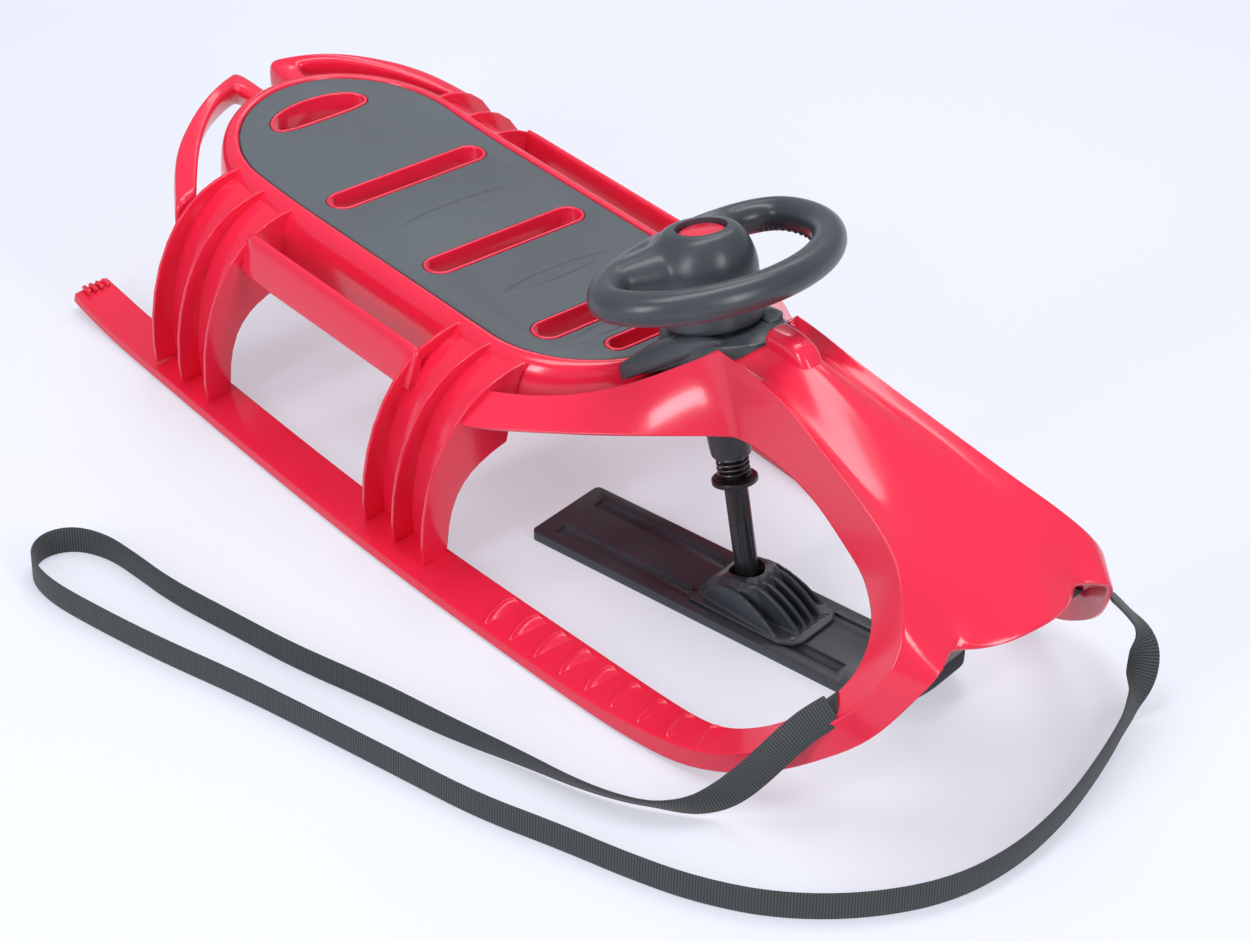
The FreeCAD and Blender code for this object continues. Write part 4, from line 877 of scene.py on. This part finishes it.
def foot_rib(side):
    """One foot rib: a thin lip bowed to the back, falling away to the front."""
    rings = []
    for inward, back in RIB_STATIONS:
        front = RIB_SLANT * inward / RIB_LENGTH
        deep = front - back
        lip = 0.8 + 2.6 * min(inward / 8, 1)
        ring = [(back - 2.2, -1.5), (back - 1.6, lip * 0.45), (back - 0.6, lip), (back + 0.5, lip)]
        ring += [(back + 1.4, lip * 0.5), (back + 2 + deep * 0.25, 0.75), (front - deep * 0.2, 0.2)]
        ring += [(front + 3, -0.7), (front + 3, -1.5)]
        rings.append([(x, side * (RIB_OUTER - inward), z) for x, z in ring])
    return small_form("foot_rib", rings)


def tail_tooth():
    """One small tooth on the end of a runner's tail."""
    rings = []
    for along, height in ((-6.5, 2), (-5, 3.8), (5, 3.4), (6.5, 1.5)):
        rings.append([(along, -2.6, -1.5), (along, -2.1, height), (along, 2.1, height), (along, 2.6, -1.5)])
    return small_form("tail_tooth", rings)


def runner_frame(target, side):
    """Frame on the runner's top at a place along it."""
    lines = [runner_edges(*station) for station in RUNNER]
    lines += [(inner, ridge) for inner, ridge, _ in CURL[:5]]
    middles = [mix_points(inner, ridge, 0.5) for inner, ridge in lines]
    for index in range(len(lines) - 1):
        if middles[index][0] <= target <= middles[index + 1][0]:
            break
    share = (target - middles[index][0]) / (middles[index + 1][0] - middles[index][0])
    inner = Vector(mix_points(lines[index][0], lines[index + 1][0], share))
    ridge = Vector(mix_points(lines[index][1], lines[index + 1][1], share))
    ahead = (Vector(middles[index + 1]) - Vector(middles[index])).normalized()
    across = (ridge - inner).normalized()
    up = ahead.cross(across).normalized()
    across = up.cross(ahead)
    place = (inner + ridge) / 2
    if side < 0:
        place.y, ahead.y, up.y = -place.y, -ahead.y, -up.y
        across = up.cross(ahead)
    turn = Matrix((ahead, across, up)).transposed()
    return Matrix.Translation(mm(place)) @ turn.to_4x4()


for side, word in SIDES:
    places = []
    for step in range(RIB_COUNT):
        lift = Matrix.Translation((0, 0, RIB_LIFT * max(0, step - LAST_LEVEL_RIB)))
        stand = runner_frame(RIB_FIRST + RIB_PITCH * step, side) @ lift
        places.append((stand, (1, 1 - RIB_NARROWING * step, 1)))
    finish(repeated("foot_rest_" + word, foot_rib(side), places, red), "sled", red, "body_red")
    spots = [(TOOTH_ALONG, side * y, TOOTH_HEIGHT) for y in TOOTH_ACROSS]
    ends = [(Matrix.Translation(mm(spot)), (1, 1, 1)) for spot in spots]
    finish(repeated("tail_teeth_" + word, tail_tooth(), ends, red), "sled", red, "body_red")


# Legs, seat and rear hand loops

def plate(name, outlines, low, high, edge):
    """Flat moulding with holes: closed outlines in millimetres, the first outside, with rounded edges."""
    curve = bpy.data.curves.new(name, "CURVE")
    curve.dimensions = "2D"
    curve.fill_mode = "BOTH"
    curve.extrude = (high - low) / 2 * MM - edge * MM
    curve.bevel_depth = edge * MM
    curve.bevel_resolution = 3
    curve.offset = -edge * MM
    for index, outline in enumerate(outlines):
        area = sum(x * outline[step - 1][1] - outline[step - 1][0] * y for step, (x, y) in enumerate(outline))
        ordered = outline if (area < 0) == (index == 0) else list(reversed(outline))
        spline = curve.splines.new("POLY")
        spline.points.add(len(ordered) - 1)
        spline.use_cyclic_u = True
        for place, (x, y) in zip(spline.points, ordered):
            place.co = (x * MM, y * MM, 0, 1)
    holder = link(name, curve)
    mesh = plain_mesh(holder)
    bpy.data.objects.remove(holder)
    mesh.transform(Matrix.Translation((0, 0, (low + high) / 2 * MM)))
    build = bmesh.new()
    build.from_mesh(mesh)
    bmesh.ops.remove_doubles(build, verts=build.verts, dist=0.00001)
    build.to_mesh(mesh)
    build.free()
    return link(name, mesh)


# Outlines of a leg, across and up: outer edge and arched inner edge of a fin, and the skin behind them
FIN_EDGE = (
    (189, 13), (194, 36), (197.2, 68), (197, 96), (193.8, 123), (187, 148), (178.5, 167), (167, 182),
    (153, 193.5), (140, 200), (126, 204), (112, 205),
)
FIN_ARCH = (
    (116, 180), (117, 121), (132, 115), (144, 108), (151, 102), (158, 92.5), (163, 81), (166, 64),
    (166.5, 48), (164, 13),
)
LEG_SKIN = (
    (168, 12), (174, 40), (176.5, 66), (177, 92), (175.5, 117), (171, 140), (164.5, 158), (155, 174),
    (143, 186), (128, 195), (112, 199.5),
)
LEG_DEPTH = 85
LEG_LEAN = 0.2
LEAN_FROM = 20
FIN_COUNT = 3
FIN_PITCH = 41.5
FIN_HALF = 1.7

# Bend of the seat, in metres: where it starts, its radius, and the height of the legs that follow it
BEND_START = -0.250
BEND_RADIUS = 1.250
BENT_HEIGHT = 0.2


def seat_rise(x):
    """Height that the seat gains towards its rear, in metres."""
    behind = max(0, BEND_START - x)
    return BEND_RADIUS - math.sqrt(BEND_RADIUS ** 2 - behind ** 2)


def leg(name, start, side):
    """Three curved fins, leaning forwards, on a skin that runs from the runner to the seat."""
    build = bmesh.new()
    stand = Matrix(((0, LEG_LEAN, 1, 0), (side, 0, 0, 0), (0, 1, 0, 0), (0, 0, 0, 1)))
    for index in range(FIN_COUNT):
        fin = plate("fin", [FIN_EDGE + FIN_ARCH], -FIN_HALF, FIN_HALF, 1.0)
        along = (start + 2 + FIN_PITCH * index - LEAN_FROM * LEG_LEAN) * MM
        fin.data.transform(Matrix.Translation((along, 0, 0)) @ stand)
        build.from_mesh(fin.data)
        bpy.data.objects.remove(fin)
    rings = []
    for y, z in LEG_SKIN:
        rear = start + 1 + LEG_LEAN * (z - LEAN_FROM)
        front = rear + LEG_DEPTH
        section = ((rear, y, z), (front, y, z), (front, y - 4, z - 2), (rear, y - 4, z - 2))
        rings.append(on_side(side, section))
    skin = cage("skin", rings, crease=0.9)
    build.from_mesh(skin.data)
    bpy.data.objects.remove(skin)
    face_outwards(build)
    for vert in build.verts:
        vert.co.z += seat_rise(vert.co.x) * vert.co.z / BENT_HEIGHT
    piece = mesh_piece(name + "_moulding", build)
    smooth_faces(piece, 40)
    return finish(piece, "sled", red, "body_red", name)


# Section of a rail, across and up, and its stations
RAIL_SECTION = (
    (168.6, 155.5), (169, 158.5), (166.6, 172), (163.4, 184), (160.6, 191.4), (157.4, 194.2), (154.4, 192.8),
    (152.8, 188), (152.3, 160), (154.3, 156),
)
RAIL_STATIONS = (-280, -230, -170, -110, -34)


def rail(side, word):
    """Hand rail between the legs: steep outer face and rounded top."""
    rings = [[(x, side * y, z) for y, z in RAIL_SECTION] for x in RAIL_STATIONS]
    return finish(cage("rail_band_" + word, rings, crease=0.15), "sled", red, "body_red", "rail_" + word)


for side, word in SIDES:
    leg("leg_rear_" + word, -396, side)
    leg("leg_front_" + word, -73, side)
    rail(side, word)

SEAT_TOP = 206
SEAT_REAR = -336
SEAT_FRONT = -2
BASE_HALF = 118
PAD_HALF = 105.2

# Slots across the seat: place along, half length and end radius
SLOTS = ((-258, 83, 12), (-117, 83, 12), (22, 76, 12), (74, 40, 8))

# Hand hole: place along, half width, reach to the back and reach to the front
HAND_HOLE = (-389, 50, 24, 6)

# Cuts across the seat's bend: how many, and how far apart in metres
BEND_CUTS = 18
BEND_STEP = 0.012


def stadium(half, steps=40):
    """Seat outline: straight sides and round ends."""
    outline = []
    for centre, start in ((SEAT_FRONT, -90), (SEAT_REAR, 90)):
        for step in range(steps + 1):
            angle = math.radians(start + 180 * step / steps)
            outline.append((centre + half * math.cos(angle), half * math.sin(angle)))
    return outline


def slot_outline(centre, half, radius, grow):
    """Slot across the seat, with round ends."""
    outline = []
    reach = half - radius
    end = radius + grow
    for place, start in ((reach, 0), (-reach, 180)):
        for step in range(17):
            angle = math.radians(start + 180 * step / 16)
            outline.append((centre + end * math.cos(angle), place + end * math.sin(angle)))
    return outline


def hand_hole(grow):
    """Crescent hand hole at the rear of the seat."""
    middle, half, back, front = HAND_HOLE
    outline = []
    for step in range(33):
        angle = math.pi * step / 32
        outline.append((middle - (back + grow) * math.sin(angle) ** 0.85, (half + grow) * math.cos(angle)))
    for step in range(1, 24):
        share = -1 + 2 * step / 24
        outline.append((middle + (front + grow) * (1 - share ** 4) ** 0.5, (half + grow) * share))
    return outline


def seat_holes(grow):
    """All the holes through the seat."""
    holes = [slot_outline(centre, half, radius, grow) for centre, half, radius in SLOTS]
    return holes + [hand_hole(grow)]


def bend_up(build):
    """Raise an edit mesh along the seat's bend."""
    for vert in build.verts:
        vert.co.z += seat_rise(vert.co.x)


def seat_piece(name, outlines, low, high, edge):
    """Level seat moulding, then bent up towards the rear."""
    piece = plate(name, outlines, low, high, edge)
    build = bmesh.new()
    build.from_mesh(piece.data)
    for step in range(BEND_CUTS):
        everything = list(build.verts) + list(build.edges) + list(build.faces)
        cut = (BEND_START - BEND_STEP * step, 0, 0)
        bmesh.ops.bisect_plane(build, geom=everything, plane_co=cut, plane_no=(1, 0, 0))
    bend_up(build)
    build.to_mesh(piece.data)
    build.free()
    smooth_faces(piece, 35)
    return piece


def join_pieces(name, parts):
    """One mesh from several made pieces."""
    build = bmesh.new()
    for part in parts:
        build.from_mesh(part.data)
        bpy.data.objects.remove(part)
    piece = mesh_piece(name, build)
    smooth_faces(piece, 35)
    return piece


# Rolled rim of the seat: distance from the seat's middle line and height
SEAT_RIM = (
    (105.6, 203), (106.2, 206.3), (108.4, 207.2), (112, 206.6), (116.4, 204.2), (120.2, 199.3), (122.4, 192),
    (123.3, 181), (123.6, 167), (123.2, 154), (121.2, 152), (119, 154), (118.6, 178), (108, 196),
)


def seat_rim():
    """Rim that rolls over from the pad into a deep skirt."""
    path = []
    for centre, start, last in ((SEAT_FRONT, -90, SEAT_REAR), (SEAT_REAR, 90, SEAT_FRONT)):
        path += [(centre, math.radians(start + 180 * step / 40)) for step in range(41)]
        path += [(centre + (last - centre) * step / 12, math.radians(start + 180)) for step in range(1, 12)]
    build = bmesh.new()
    add_rings(build, [turned_section(SEAT_RIM, angle, centre) for centre, angle in path], loop=True)
    face_outwards(build)
    bend_up(build)
    return settle(subdivide(mesh_piece("rim", build), 1))


def seat_deck():
    """Seat tray: base with holes, rolled rim and a lip round every hole."""
    base = [stadium(BASE_HALF)] + seat_holes(0.6)
    parts = [seat_piece("base", base, low=180, high=201, edge=1.0), seat_rim()]
    for inner, outer in zip(seat_holes(0), seat_holes(3.0)):
        parts.append(seat_piece("lip", [outer, inner], low=178, high=SEAT_TOP + 0.4, edge=1.2))
    return join_pieces("seat_deck_moulding", parts)


def seat_pad():
    """Grey pad let into the tray, open at every hole."""
    outlines = [stadium(PAD_HALF)] + seat_holes(3.4)
    return seat_piece("seat_pad_skin", outlines, low=200, high=SEAT_TOP, edge=1.4)


finish(seat_deck(), "sled", red, "body_red", "seat_deck")
finish(seat_pad(), "sled", seat_grey, "pad_grey", "seat_pad")

# Top edges of a rear hand loop, from the seat's side to the middle
HANDLE_OUTER = (
    (-372, 174, 180), (-409, 151, 198), (-429, 133, 205.5), (-440, 119, 211), (-461, 89, 219),
    (-477, 57, 224), (-494, 27, 220), (-500, 19.5, 217.5), (-494, 14.5, 216), (-478, 13, 214.5),
    (-452, 12.5, 213),
)
HANDLE_INNER = (
    (-372, 151, 190), (-403, 128, 203), (-417, 116, 208), (-428, 106, 211.5), (-449, 82, 218),
    (-464, 60, 221), (-473, 43, 220.5), (-475, 37.5, 219), (-472, 34.5, 217.5), (-464, 33.5, 216),
    (-446, 33, 214),
)


def rear_handle(side, word):
    """Hand loop behind the seat: a deep band with a rounded top."""
    rings = []
    for outer, inner in zip(HANDLE_OUTER, HANDLE_INNER):
        crown = mix_points(outer, inner, 0.3)
        foot = (outer[0] - 1, outer[1] + 1.5, outer[2] - 30)
        heel = mix_points(outer, inner, 0.5)
        ring = [outer, (crown[0], crown[1], crown[2] + 1.5), inner, (inner[0], inner[1], inner[2] - 9)]
        ring += [(heel[0], heel[1], heel[2] - 28), foot]
        rings.append(on_side(side, ring))
    piece = cage("rear_handle_band_" + word, rings, crease=0.25)
    return finish(piece, "sled", red, "body_red", "rear_handle_" + word)


for side, word in SIDES:
    rear_handle(side, word)


# Console, steering wheel and horn button

# Stations along the sled: the block on the hood, the web of the neck and the tray, each with its half width
HOOD_BLOCK = (
    (229, 13, 287, 264), (242, 13, 287.5, 264), (256, 12.6, 287, 263), (266, 12, 284, 261),
    (273, 11, 277, 258), (279, 10, 268, 252),
)
NECK = (
    (122, 76, 186, 203), (140, 74, 187, 212), (165, 50, 189, 232), (190, 38, 191, 250), (205, 33, 193, 258),
)
TRAY = ((112, 58, 208), (130, 59, 218), (150, 54, 231), (170, 47, 245), (190, 37, 257), (206, 28, 266))

# Lower and upper edge of the fins beside the tray, and the swell between them
CONSOLE_FIN_LOW = ((120, 68, 205), (140, 64, 220), (160, 57, 236), (182, 46, 252), (202, 33, 265))
CONSOLE_FIN_HIGH = ((112, 52, 218), (127, 46, 237), (145, 40, 251), (165, 35, 262), (200, 29, 268))
FIN_BULGE = (-3, 6, 5)

# Hole for the column, and the collar round it
COLUMN_BORE = 14
BORE_LOW = 120
BORE_HIGH = 340
COLLAR_BORE = 31
COLLAR_LOW = 226
COLLAR_HIGH = 262


def bored(piece, radius, low, high, place):
    """Cut a round hole along a place's upright axis into a piece."""
    rings = [oval_ring(0, radius, radius, height, 64) for height in (low, high)]
    tool = ring_piece("bore", rings, place=place)
    hollow = piece.modifiers.new("bore", "BOOLEAN")
    hollow.operation = "DIFFERENCE"
    hollow.object = tool
    hollow.solver = "EXACT"
    settle(piece)
    bpy.data.objects.remove(tool)
    return piece


def block_ring(x, half, top, bottom):
    """Section of a rounded block across the middle."""
    left = [(x, half, bottom), (x, half - 0.6, top - 5), (x, half - 5, top)]
    return left + on_side(-1, reversed(left))


def column_web(name, rings, crease):
    """Smooth web through rings, bored for the column."""
    piece = bored(cage(name, rings, crease=crease), COLUMN_BORE, BORE_LOW, BORE_HIGH, STEER)
    smooth_faces(piece, 40)
    return piece


def neck_web():
    """Red web between the arms, under the tray."""
    rings = []
    for x, half, low, high in NECK:
        rings.append([(x, half, low), (x, half, high), (x, -half, high), (x, -half, low)])
    return column_web("neck_web", rings, 0.6)


def console_tray():
    """Dark tray that slopes up to the column."""
    rings = []
    for x, half, top in TRAY:
        rings.append([(x, half, top), (x, -half, top), (x + 3, -half, top - 6), (x + 3, half, top - 6)])
    return column_web("console_tray", rings, 0.4)


def console_fin(side, word):
    """Swelling fin along one side of the tray."""
    rings = []
    for low, high in zip(CONSOLE_FIN_LOW, CONSOLE_FIN_HIGH):
        crown = [(one + two) / 2 + bulge for one, two, bulge in zip(low, high, FIN_BULGE)]
        ring = [low, crown, high]
        ring += [(high[0] - 2, high[1] - 8, high[2] - 3), (low[0] - 4, low[1] - 10, low[2] - 3)]
        rings.append(on_side(side, ring))
    return cage("console_fin_" + word, rings, crease=0.35)


def console_collar():
    """Collar round the column, longer towards the hood."""
    rings = []
    for step in range(64):
        angle = 2 * math.pi * step / 64
        reach = 46 + 25 * max(0, math.cos(angle)) ** 2
        section = [(COLLAR_BORE, COLLAR_LOW), (reach + 2, COLLAR_LOW), (reach + 1, 252), (reach - 1, 259.5)]
        section += [(reach - 4, COLLAR_HIGH), (COLLAR_BORE, COLLAR_HIGH)]
        rings.append(turned_section(section, angle))
    piece = ring_piece("console_collar", rings, loop=True, place=RAKE)
    smooth_faces(piece, 40)
    return piece


finish(cage("hood_block", [block_ring(*row) for row in HOOD_BLOCK]), "sled", red, "body_red")
finish(neck_web(), "sled", red, "body_red", "neck_block")
finish(console_tray(), "sled", wheel_grey, "dark_grey", "console")
for side, word in SIDES:
    finish(console_fin(side, word), "sled", wheel_grey, "dark_grey")
finish(console_collar(), "sled", wheel_grey, "dark_grey")

# Rim: reach of its middle line to the front, side and back, its height and the radius of its tube
RIM_FRONT = 94
RIM_SIDE = 112
RIM_BACK = 49
RIM_HEIGHT = 317
RIM_TUBE = 15

# Levels of the hub: middle, half width, half depth and height
HUB = (
    (0, 43, 43, 264.5), (-1, 43, 43, 280), (-3, 44, 45, 297), (-4, 45, 47, 312), (-5, 43, 46, 323),
    (-4, 39, 42, 332), (-2, 34, 36, 339), (-1, 30, 32, 343.5), (0, 26, 27, 345),
)
HORN_BORE = 21.6
HORN_BORE_LOW = 320
HORN_BORE_HIGH = 360

# Finger bumps: steps along the rim, how far in and how far down they sit
BUMP_STEPS = range(17, 42, 2)
BUMP_IN = 10.6
BUMP_DROP = 8.6


def rim_line(count=132):
    """Closed middle line of the wheel's rim: a wide oval with a flatter back."""
    steps = []
    for index in range(count):
        angle = 2 * math.pi * index / count
        ahead = math.cos(angle)
        if ahead > 0:
            steps.append((RIM_FRONT * ahead, RIM_SIDE * math.sin(angle)))
        else:
            aside = RIM_SIDE * math.sin(angle) * (1 - 0.1 * abs(ahead))
            steps.append((-RIM_BACK * abs(ahead) ** 0.75, aside))
    return steps


def tube_rings(line, radius, height, sections=16):
    """Rings of a round tube along a closed flat line."""
    rings = []
    count = len(line)
    for index, (x, y) in enumerate(line):
        before = Vector(line[index - 1])
        after = Vector(line[(index + 1) % count])
        along = (after - before).normalized()
        out = Vector((along.y, -along.x))
        ring = []
        for step in range(sections):
            angle = 2 * math.pi * step / sections
            reach = radius * math.cos(angle)
            ring.append((x + out.x * reach, y + out.y * reach, height + radius * math.sin(angle)))
        rings.append(ring)
    return rings


def slope_rings(side):
    """Tapered ridge from the hub's crown down to a rear corner of the rim."""
    rings = []
    start = Vector((-13, side * 8, 308))
    end = Vector((-41, side * 74, RIM_HEIGHT))
    way = (end - start).normalized()
    out = way.cross(Vector((0, 0, 1))).normalized()
    up = out.cross(way)
    for step in range(9):
        share = step / 8
        place = start.lerp(end, share)
        radius = 36.5 - 22 * share ** 0.8
        ring = []
        for turn in range(16):
            angle = 2 * math.pi * turn / 16
            ring.append(tuple(place + out * (radius * math.cos(angle)) + up * (radius * math.sin(angle))))
        rings.append(ring)
    return rings


def wheel_body():
    """Rim, hub and the slopes between them, melted into one moulding."""
    build = bmesh.new()
    add_rings(build, tube_rings(rim_line(), RIM_TUBE, RIM_HEIGHT), loop=True)
    add_rings(build, [oval_ring(*level) for level in HUB])
    for side, _ in SIDES:
        add_rings(build, slope_rings(side))
    face_outwards(build)
    piece = melted(mesh_piece("steering_wheel_grip", build), voxel=0.002, rounds=34)
    bored(piece, HORN_BORE, HORN_BORE_LOW, HORN_BORE_HIGH, Matrix.Identity(4))
    piece.data.transform(STEER)
    smooth_faces(piece, 45)
    return piece


def rim_bumps():
    """Finger bumps under the inner side of the rim, for both hands."""
    rings = []
    for height, reach in ((-2.8, 1.2), (-1.6, 2.4), (0, 2.9), (1.6, 2.4), (2.8, 1.2)):
        rings.append(oval_ring(0, reach, reach, height, 10))
    line = rim_line()
    places = []
    for index in BUMP_STEPS:
        x, y = line[index]
        along = (Vector(line[index + 1]) - Vector(line[index - 1])).normalized()
        for side, _ in SIDES:
            point = (x - along.y * BUMP_IN, side * (y + along.x * BUMP_IN), RIM_HEIGHT - BUMP_DROP)
            places.append((STEER @ Matrix.Translation(mm(point)), (1, 1, 1)))
    return repeated("rim_bumps", small_form("rim_bump", rings), places, wheel_grey)


finish(wheel_body(), "column", wheel_grey, "dark_grey", "steering_wheel")
finish(rim_bumps(), "column", wheel_grey, "dark_grey")
finish(softened("horn_button_cap", "horn_button", 1.0, 3), "horn", red, "body_red", "horn_button")


# Column, shaft and steering ski

def spring_coil(name, low, high, radius, wire, turns):
    """Coil spring about the column, standing between two heights."""
    steps = turns * 28
    sections = 10
    rings = []
    for step in range(steps + 1):
        share = step / steps
        around = 2 * math.pi * turns * share
        height = low + wire / 2 + (high - low - wire) * share
        ring = []
        for section in range(sections):
            turn = 2 * math.pi * section / sections
            reach = radius + wire / 2 * math.cos(turn)
            rise = height + wire / 2 * math.sin(turn)
            ring.append((reach * math.cos(around), reach * math.sin(around), rise))
        rings.append(ring)
    piece = ring_piece(name, rings, place=STEER)
    smooth_faces(piece, 60)
    return piece


def column_boot():
    """Boot round the column, turned about its axis."""
    rings = [turned_section(BOOT, 2 * math.pi * step / 48) for step in range(48)]
    piece = settle(subdivide(ring_piece("column_boot", rings, loop=True, place=STEER), 1))
    smooth_faces(piece, 50)
    return piece


def sprung(coil, node, anchor_height):
    """Give a coil its finish and its body, and a mesh of its own."""
    finish(coil, "column", dark_steel, "steel", node)
    anchor = STEER @ mm((0, 0, anchor_height))
    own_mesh(coil)


# Springs: lower and upper end of each coil
SPRING_LOW = 125.4
SPRING_HIGH = 154.6
HORN_SPRING_LOW = 320.4
HORN_SPRING_HIGH = 332.6

# Boot's section: radius and height
BOOT = (
    (14.7, 145.5), (16.4, 145), (17.3, 147), (18.4, 160), (19.9, 176), (19.95, 182), (19.95, 264),
    (14.7, 264),
)

sprung(
    spring_coil("suspension_coil", SPRING_LOW, SPRING_HIGH, radius=12.9, wire=2.7, turns=6),
    "suspension_spring", SPRING_HIGH,
)
sprung(
    spring_coil("horn_coil", HORN_SPRING_LOW, HORN_SPRING_HIGH, radius=12, wire=1.2, turns=3),
    "horn_spring", HORN_SPRING_LOW,
)
finish(column_boot(), "column", ski_black, "black_plastic", "column_tube")
finish(softened("shaft_rod", "shaft", 0.4, 2), "shaft", column_black, "black_steel", "shaft")
finish(softened("shaft_stop", "shaft_flange", 1.2, 3), "shaft", column_black, "black_steel", "shaft_flange")
finish(softened("ski_blade", "ski", 1.0, 2), "ski", ski_black, "black_plastic", "ski")

# Ski foot, in stations along the ski: half widths of base and hub, tops of hub, rib and side shell
FOOT_BASE = ((-40, 28), (-35, 35), (58, 36), (70, 30), (75, 20))
FOOT_HUB = (
    (-35, 21, 13), (-29, 23, 24), (-22, 24, 31), (-13, 24.8, 37), (-2, 25, 40), (9, 24.8, 40.5),
    (18, 22, 39), (25, 20, 33), (29, 18, 24),
)
FOOT_RIB = ((8, 39), (18, 40), (28, 38.5), (38, 35), (48, 29.5), (57, 23), (64, 16.5), (69, 11))
FOOT_SHELL = (
    (-32, 11), (-27, 18), (-20, 25.5), (-12, 31), (-2, 34.5), (10, 34.5), (22, 31.5), (34, 26.5),
    (45, 20.5), (53, 15), (58, 11),
)
FOOT_LOW = 9.3
BASE_TOP = FOOT_LOW + 3
FOOT_RIB_PLACES = (-16, -5.3, 5.3, 16)
SHAFT_BORE = 15.5
SHAFT_BORE_LOW = 14
SHAFT_BORE_HIGH = 80
SKI_FRAME = Matrix.Translation((0.21334, 0, 0)) @ REST_TURN


def foot_moulding():
    """Foot of the steering ski: hub, curved ribs and two leaf-shaped side shells melted into one."""
    build = bmesh.new()
    base = []
    for x, half in FOOT_BASE:
        base.append([(x, -half, FOOT_LOW), (x, half, FOOT_LOW), (x, half, BASE_TOP), (x, -half, BASE_TOP)])
    add_rings(build, base)
    hub = []
    for x, half, top in FOOT_HUB:
        flat = half * 0.78
        wall = max(top - 5, FOOT_LOW + 1)
        left = [(x, half, FOOT_LOW), (x, half, wall), (x, flat, top)]
        hub.append(left + on_side(-1, reversed(left)))
    add_rings(build, hub)
    for y in FOOT_RIB_PLACES:
        rib = []
        for x, top in FOOT_RIB:
            rib.append([(x, y - 1.8, FOOT_LOW), (x, y + 1.8, FOOT_LOW), (x, y + 1.6, top), (x, y - 1.6, top)])
        add_rings(build, rib)
    for side, _ in SIDES:
        shell = []
        for x, top in FOOT_SHELL:
            out = 25.5 + 0.1 * (x + 32)
            section = ((out, FOOT_LOW), (out - 0.8, top), (out - 3.8, top), (out - 4, FOOT_LOW))
            shell.append([(x, side * y, z) for y, z in section])
        add_rings(build, shell)
    face_outwards(build)
    piece = melted(mesh_piece("ski_foot_moulding", build), voxel=0.0009, rounds=4)
    piece.data.transform(SKI_FRAME)
    bored(piece, SHAFT_BORE, SHAFT_BORE_LOW, SHAFT_BORE_HIGH, STEER)
    smooth_faces(piece, 45)
    return piece


finish(foot_moulding(), "ski", ski_black, "black_plastic", "ski_foot")

# Nodes that are seen as they are
for material, names in (
    (column_black, ("thrust_washer", "runner_heel_right", "runner_heel_left")),
    (bright_steel, ("wheel_bolt", "retaining_ring", "foot_pin", "strip_rivets")),
    (bright_steel, ("runner_strip_right", "runner_strip_left")),
    (dark_steel, ("foot_screws",)),
):
    for name in names:
        for holder in cad[name].material_slots:
            holder.material = material


# Floor, backdrop and soft studio light

FLOOR_HALF = 9
FLOOR_HEIGHT = -0.0004
FLOOR_GLOW = 0.46


def pale_floor():
    """Pale floor that keeps the object's shadow and looks almost white to the camera."""
    build = bmesh.new()
    corners = ((-1, -1), (1, -1), (1, 1), (-1, 1))
    build.faces.new([build.verts.new((x * FLOOR_HALF, y * FLOOR_HALF, FLOOR_HEIGHT)) for x, y in corners])
    floor = mesh_piece("studio_floor", build)
    material, tree, shader = blank_material("pale_paper")
    set_values(shader, {"Base Color": (0.50, 0.52, 0.56, 1), "Emission Color": (0.86, 0.89, 1.0, 1)})
    set_values(shader, {"Roughness": 0.9, "Specular IOR Level": 0.0})
    path = tree.nodes.new("ShaderNodeLightPath")
    mirrored = math_of(tree, "MAXIMUM", path.outputs["Is Glossy Ray"], path.outputs["Is Transmission Ray"])
    seen = math_of(tree, "MAXIMUM", path.outputs["Is Camera Ray"], mirrored)
    tree.links.new(math_of(tree, "MULTIPLY", seen, FLOOR_GLOW), shader.inputs["Emission Strength"])
    floor.data.materials.append(material)


def studio_light(name, place, aim, wide, high, power, colour=(1, 1, 1)):
    """Soft box aimed at a place."""
    data = bpy.data.lights.new(name, "AREA")
    data.shape = "RECTANGLE"
    data.size = wide
    data.size_y = high
    data.energy = power
    data.color = colour
    lamp = bpy.data.objects.new(name, data)
    lamp.location = place
    lamp.rotation_euler = (Vector(aim) - Vector(place)).to_track_quat("-Z", "Y").to_euler()
    scene.collection.objects.link(lamp)


def studio_world():
    """Even pale surroundings."""
    world = bpy.data.worlds.new("studio")
    world.use_nodes = True
    back = world.node_tree.nodes["Background"]
    set_values(back, {"Color": (0.93, 0.95, 1.0, 1), "Strength": 0.42})
    scene.world = world


pale_floor()
studio_world()
studio_light("overhead_strip", (-0.2, 0.0, 2.4), (0, 0, 0.1), 2.4, 0.6, 26)
studio_light("back_strip", (-1.2, 1.5, 2.0), (0, 0, 0.1), 1.6, 0.35, 8)
studio_light("front_box", (2.5, -0.1, 1.3), (0.1, 0, 0.1), 0.5, 1.5, 22)
studio_light("side_box", (0.4, -2.4, 1.1), (0.1, 0, 0.1), 0.45, 1.3, 21, (1.0, 0.95, 1.0))

scene.view_settings.view_transform = "Standard"
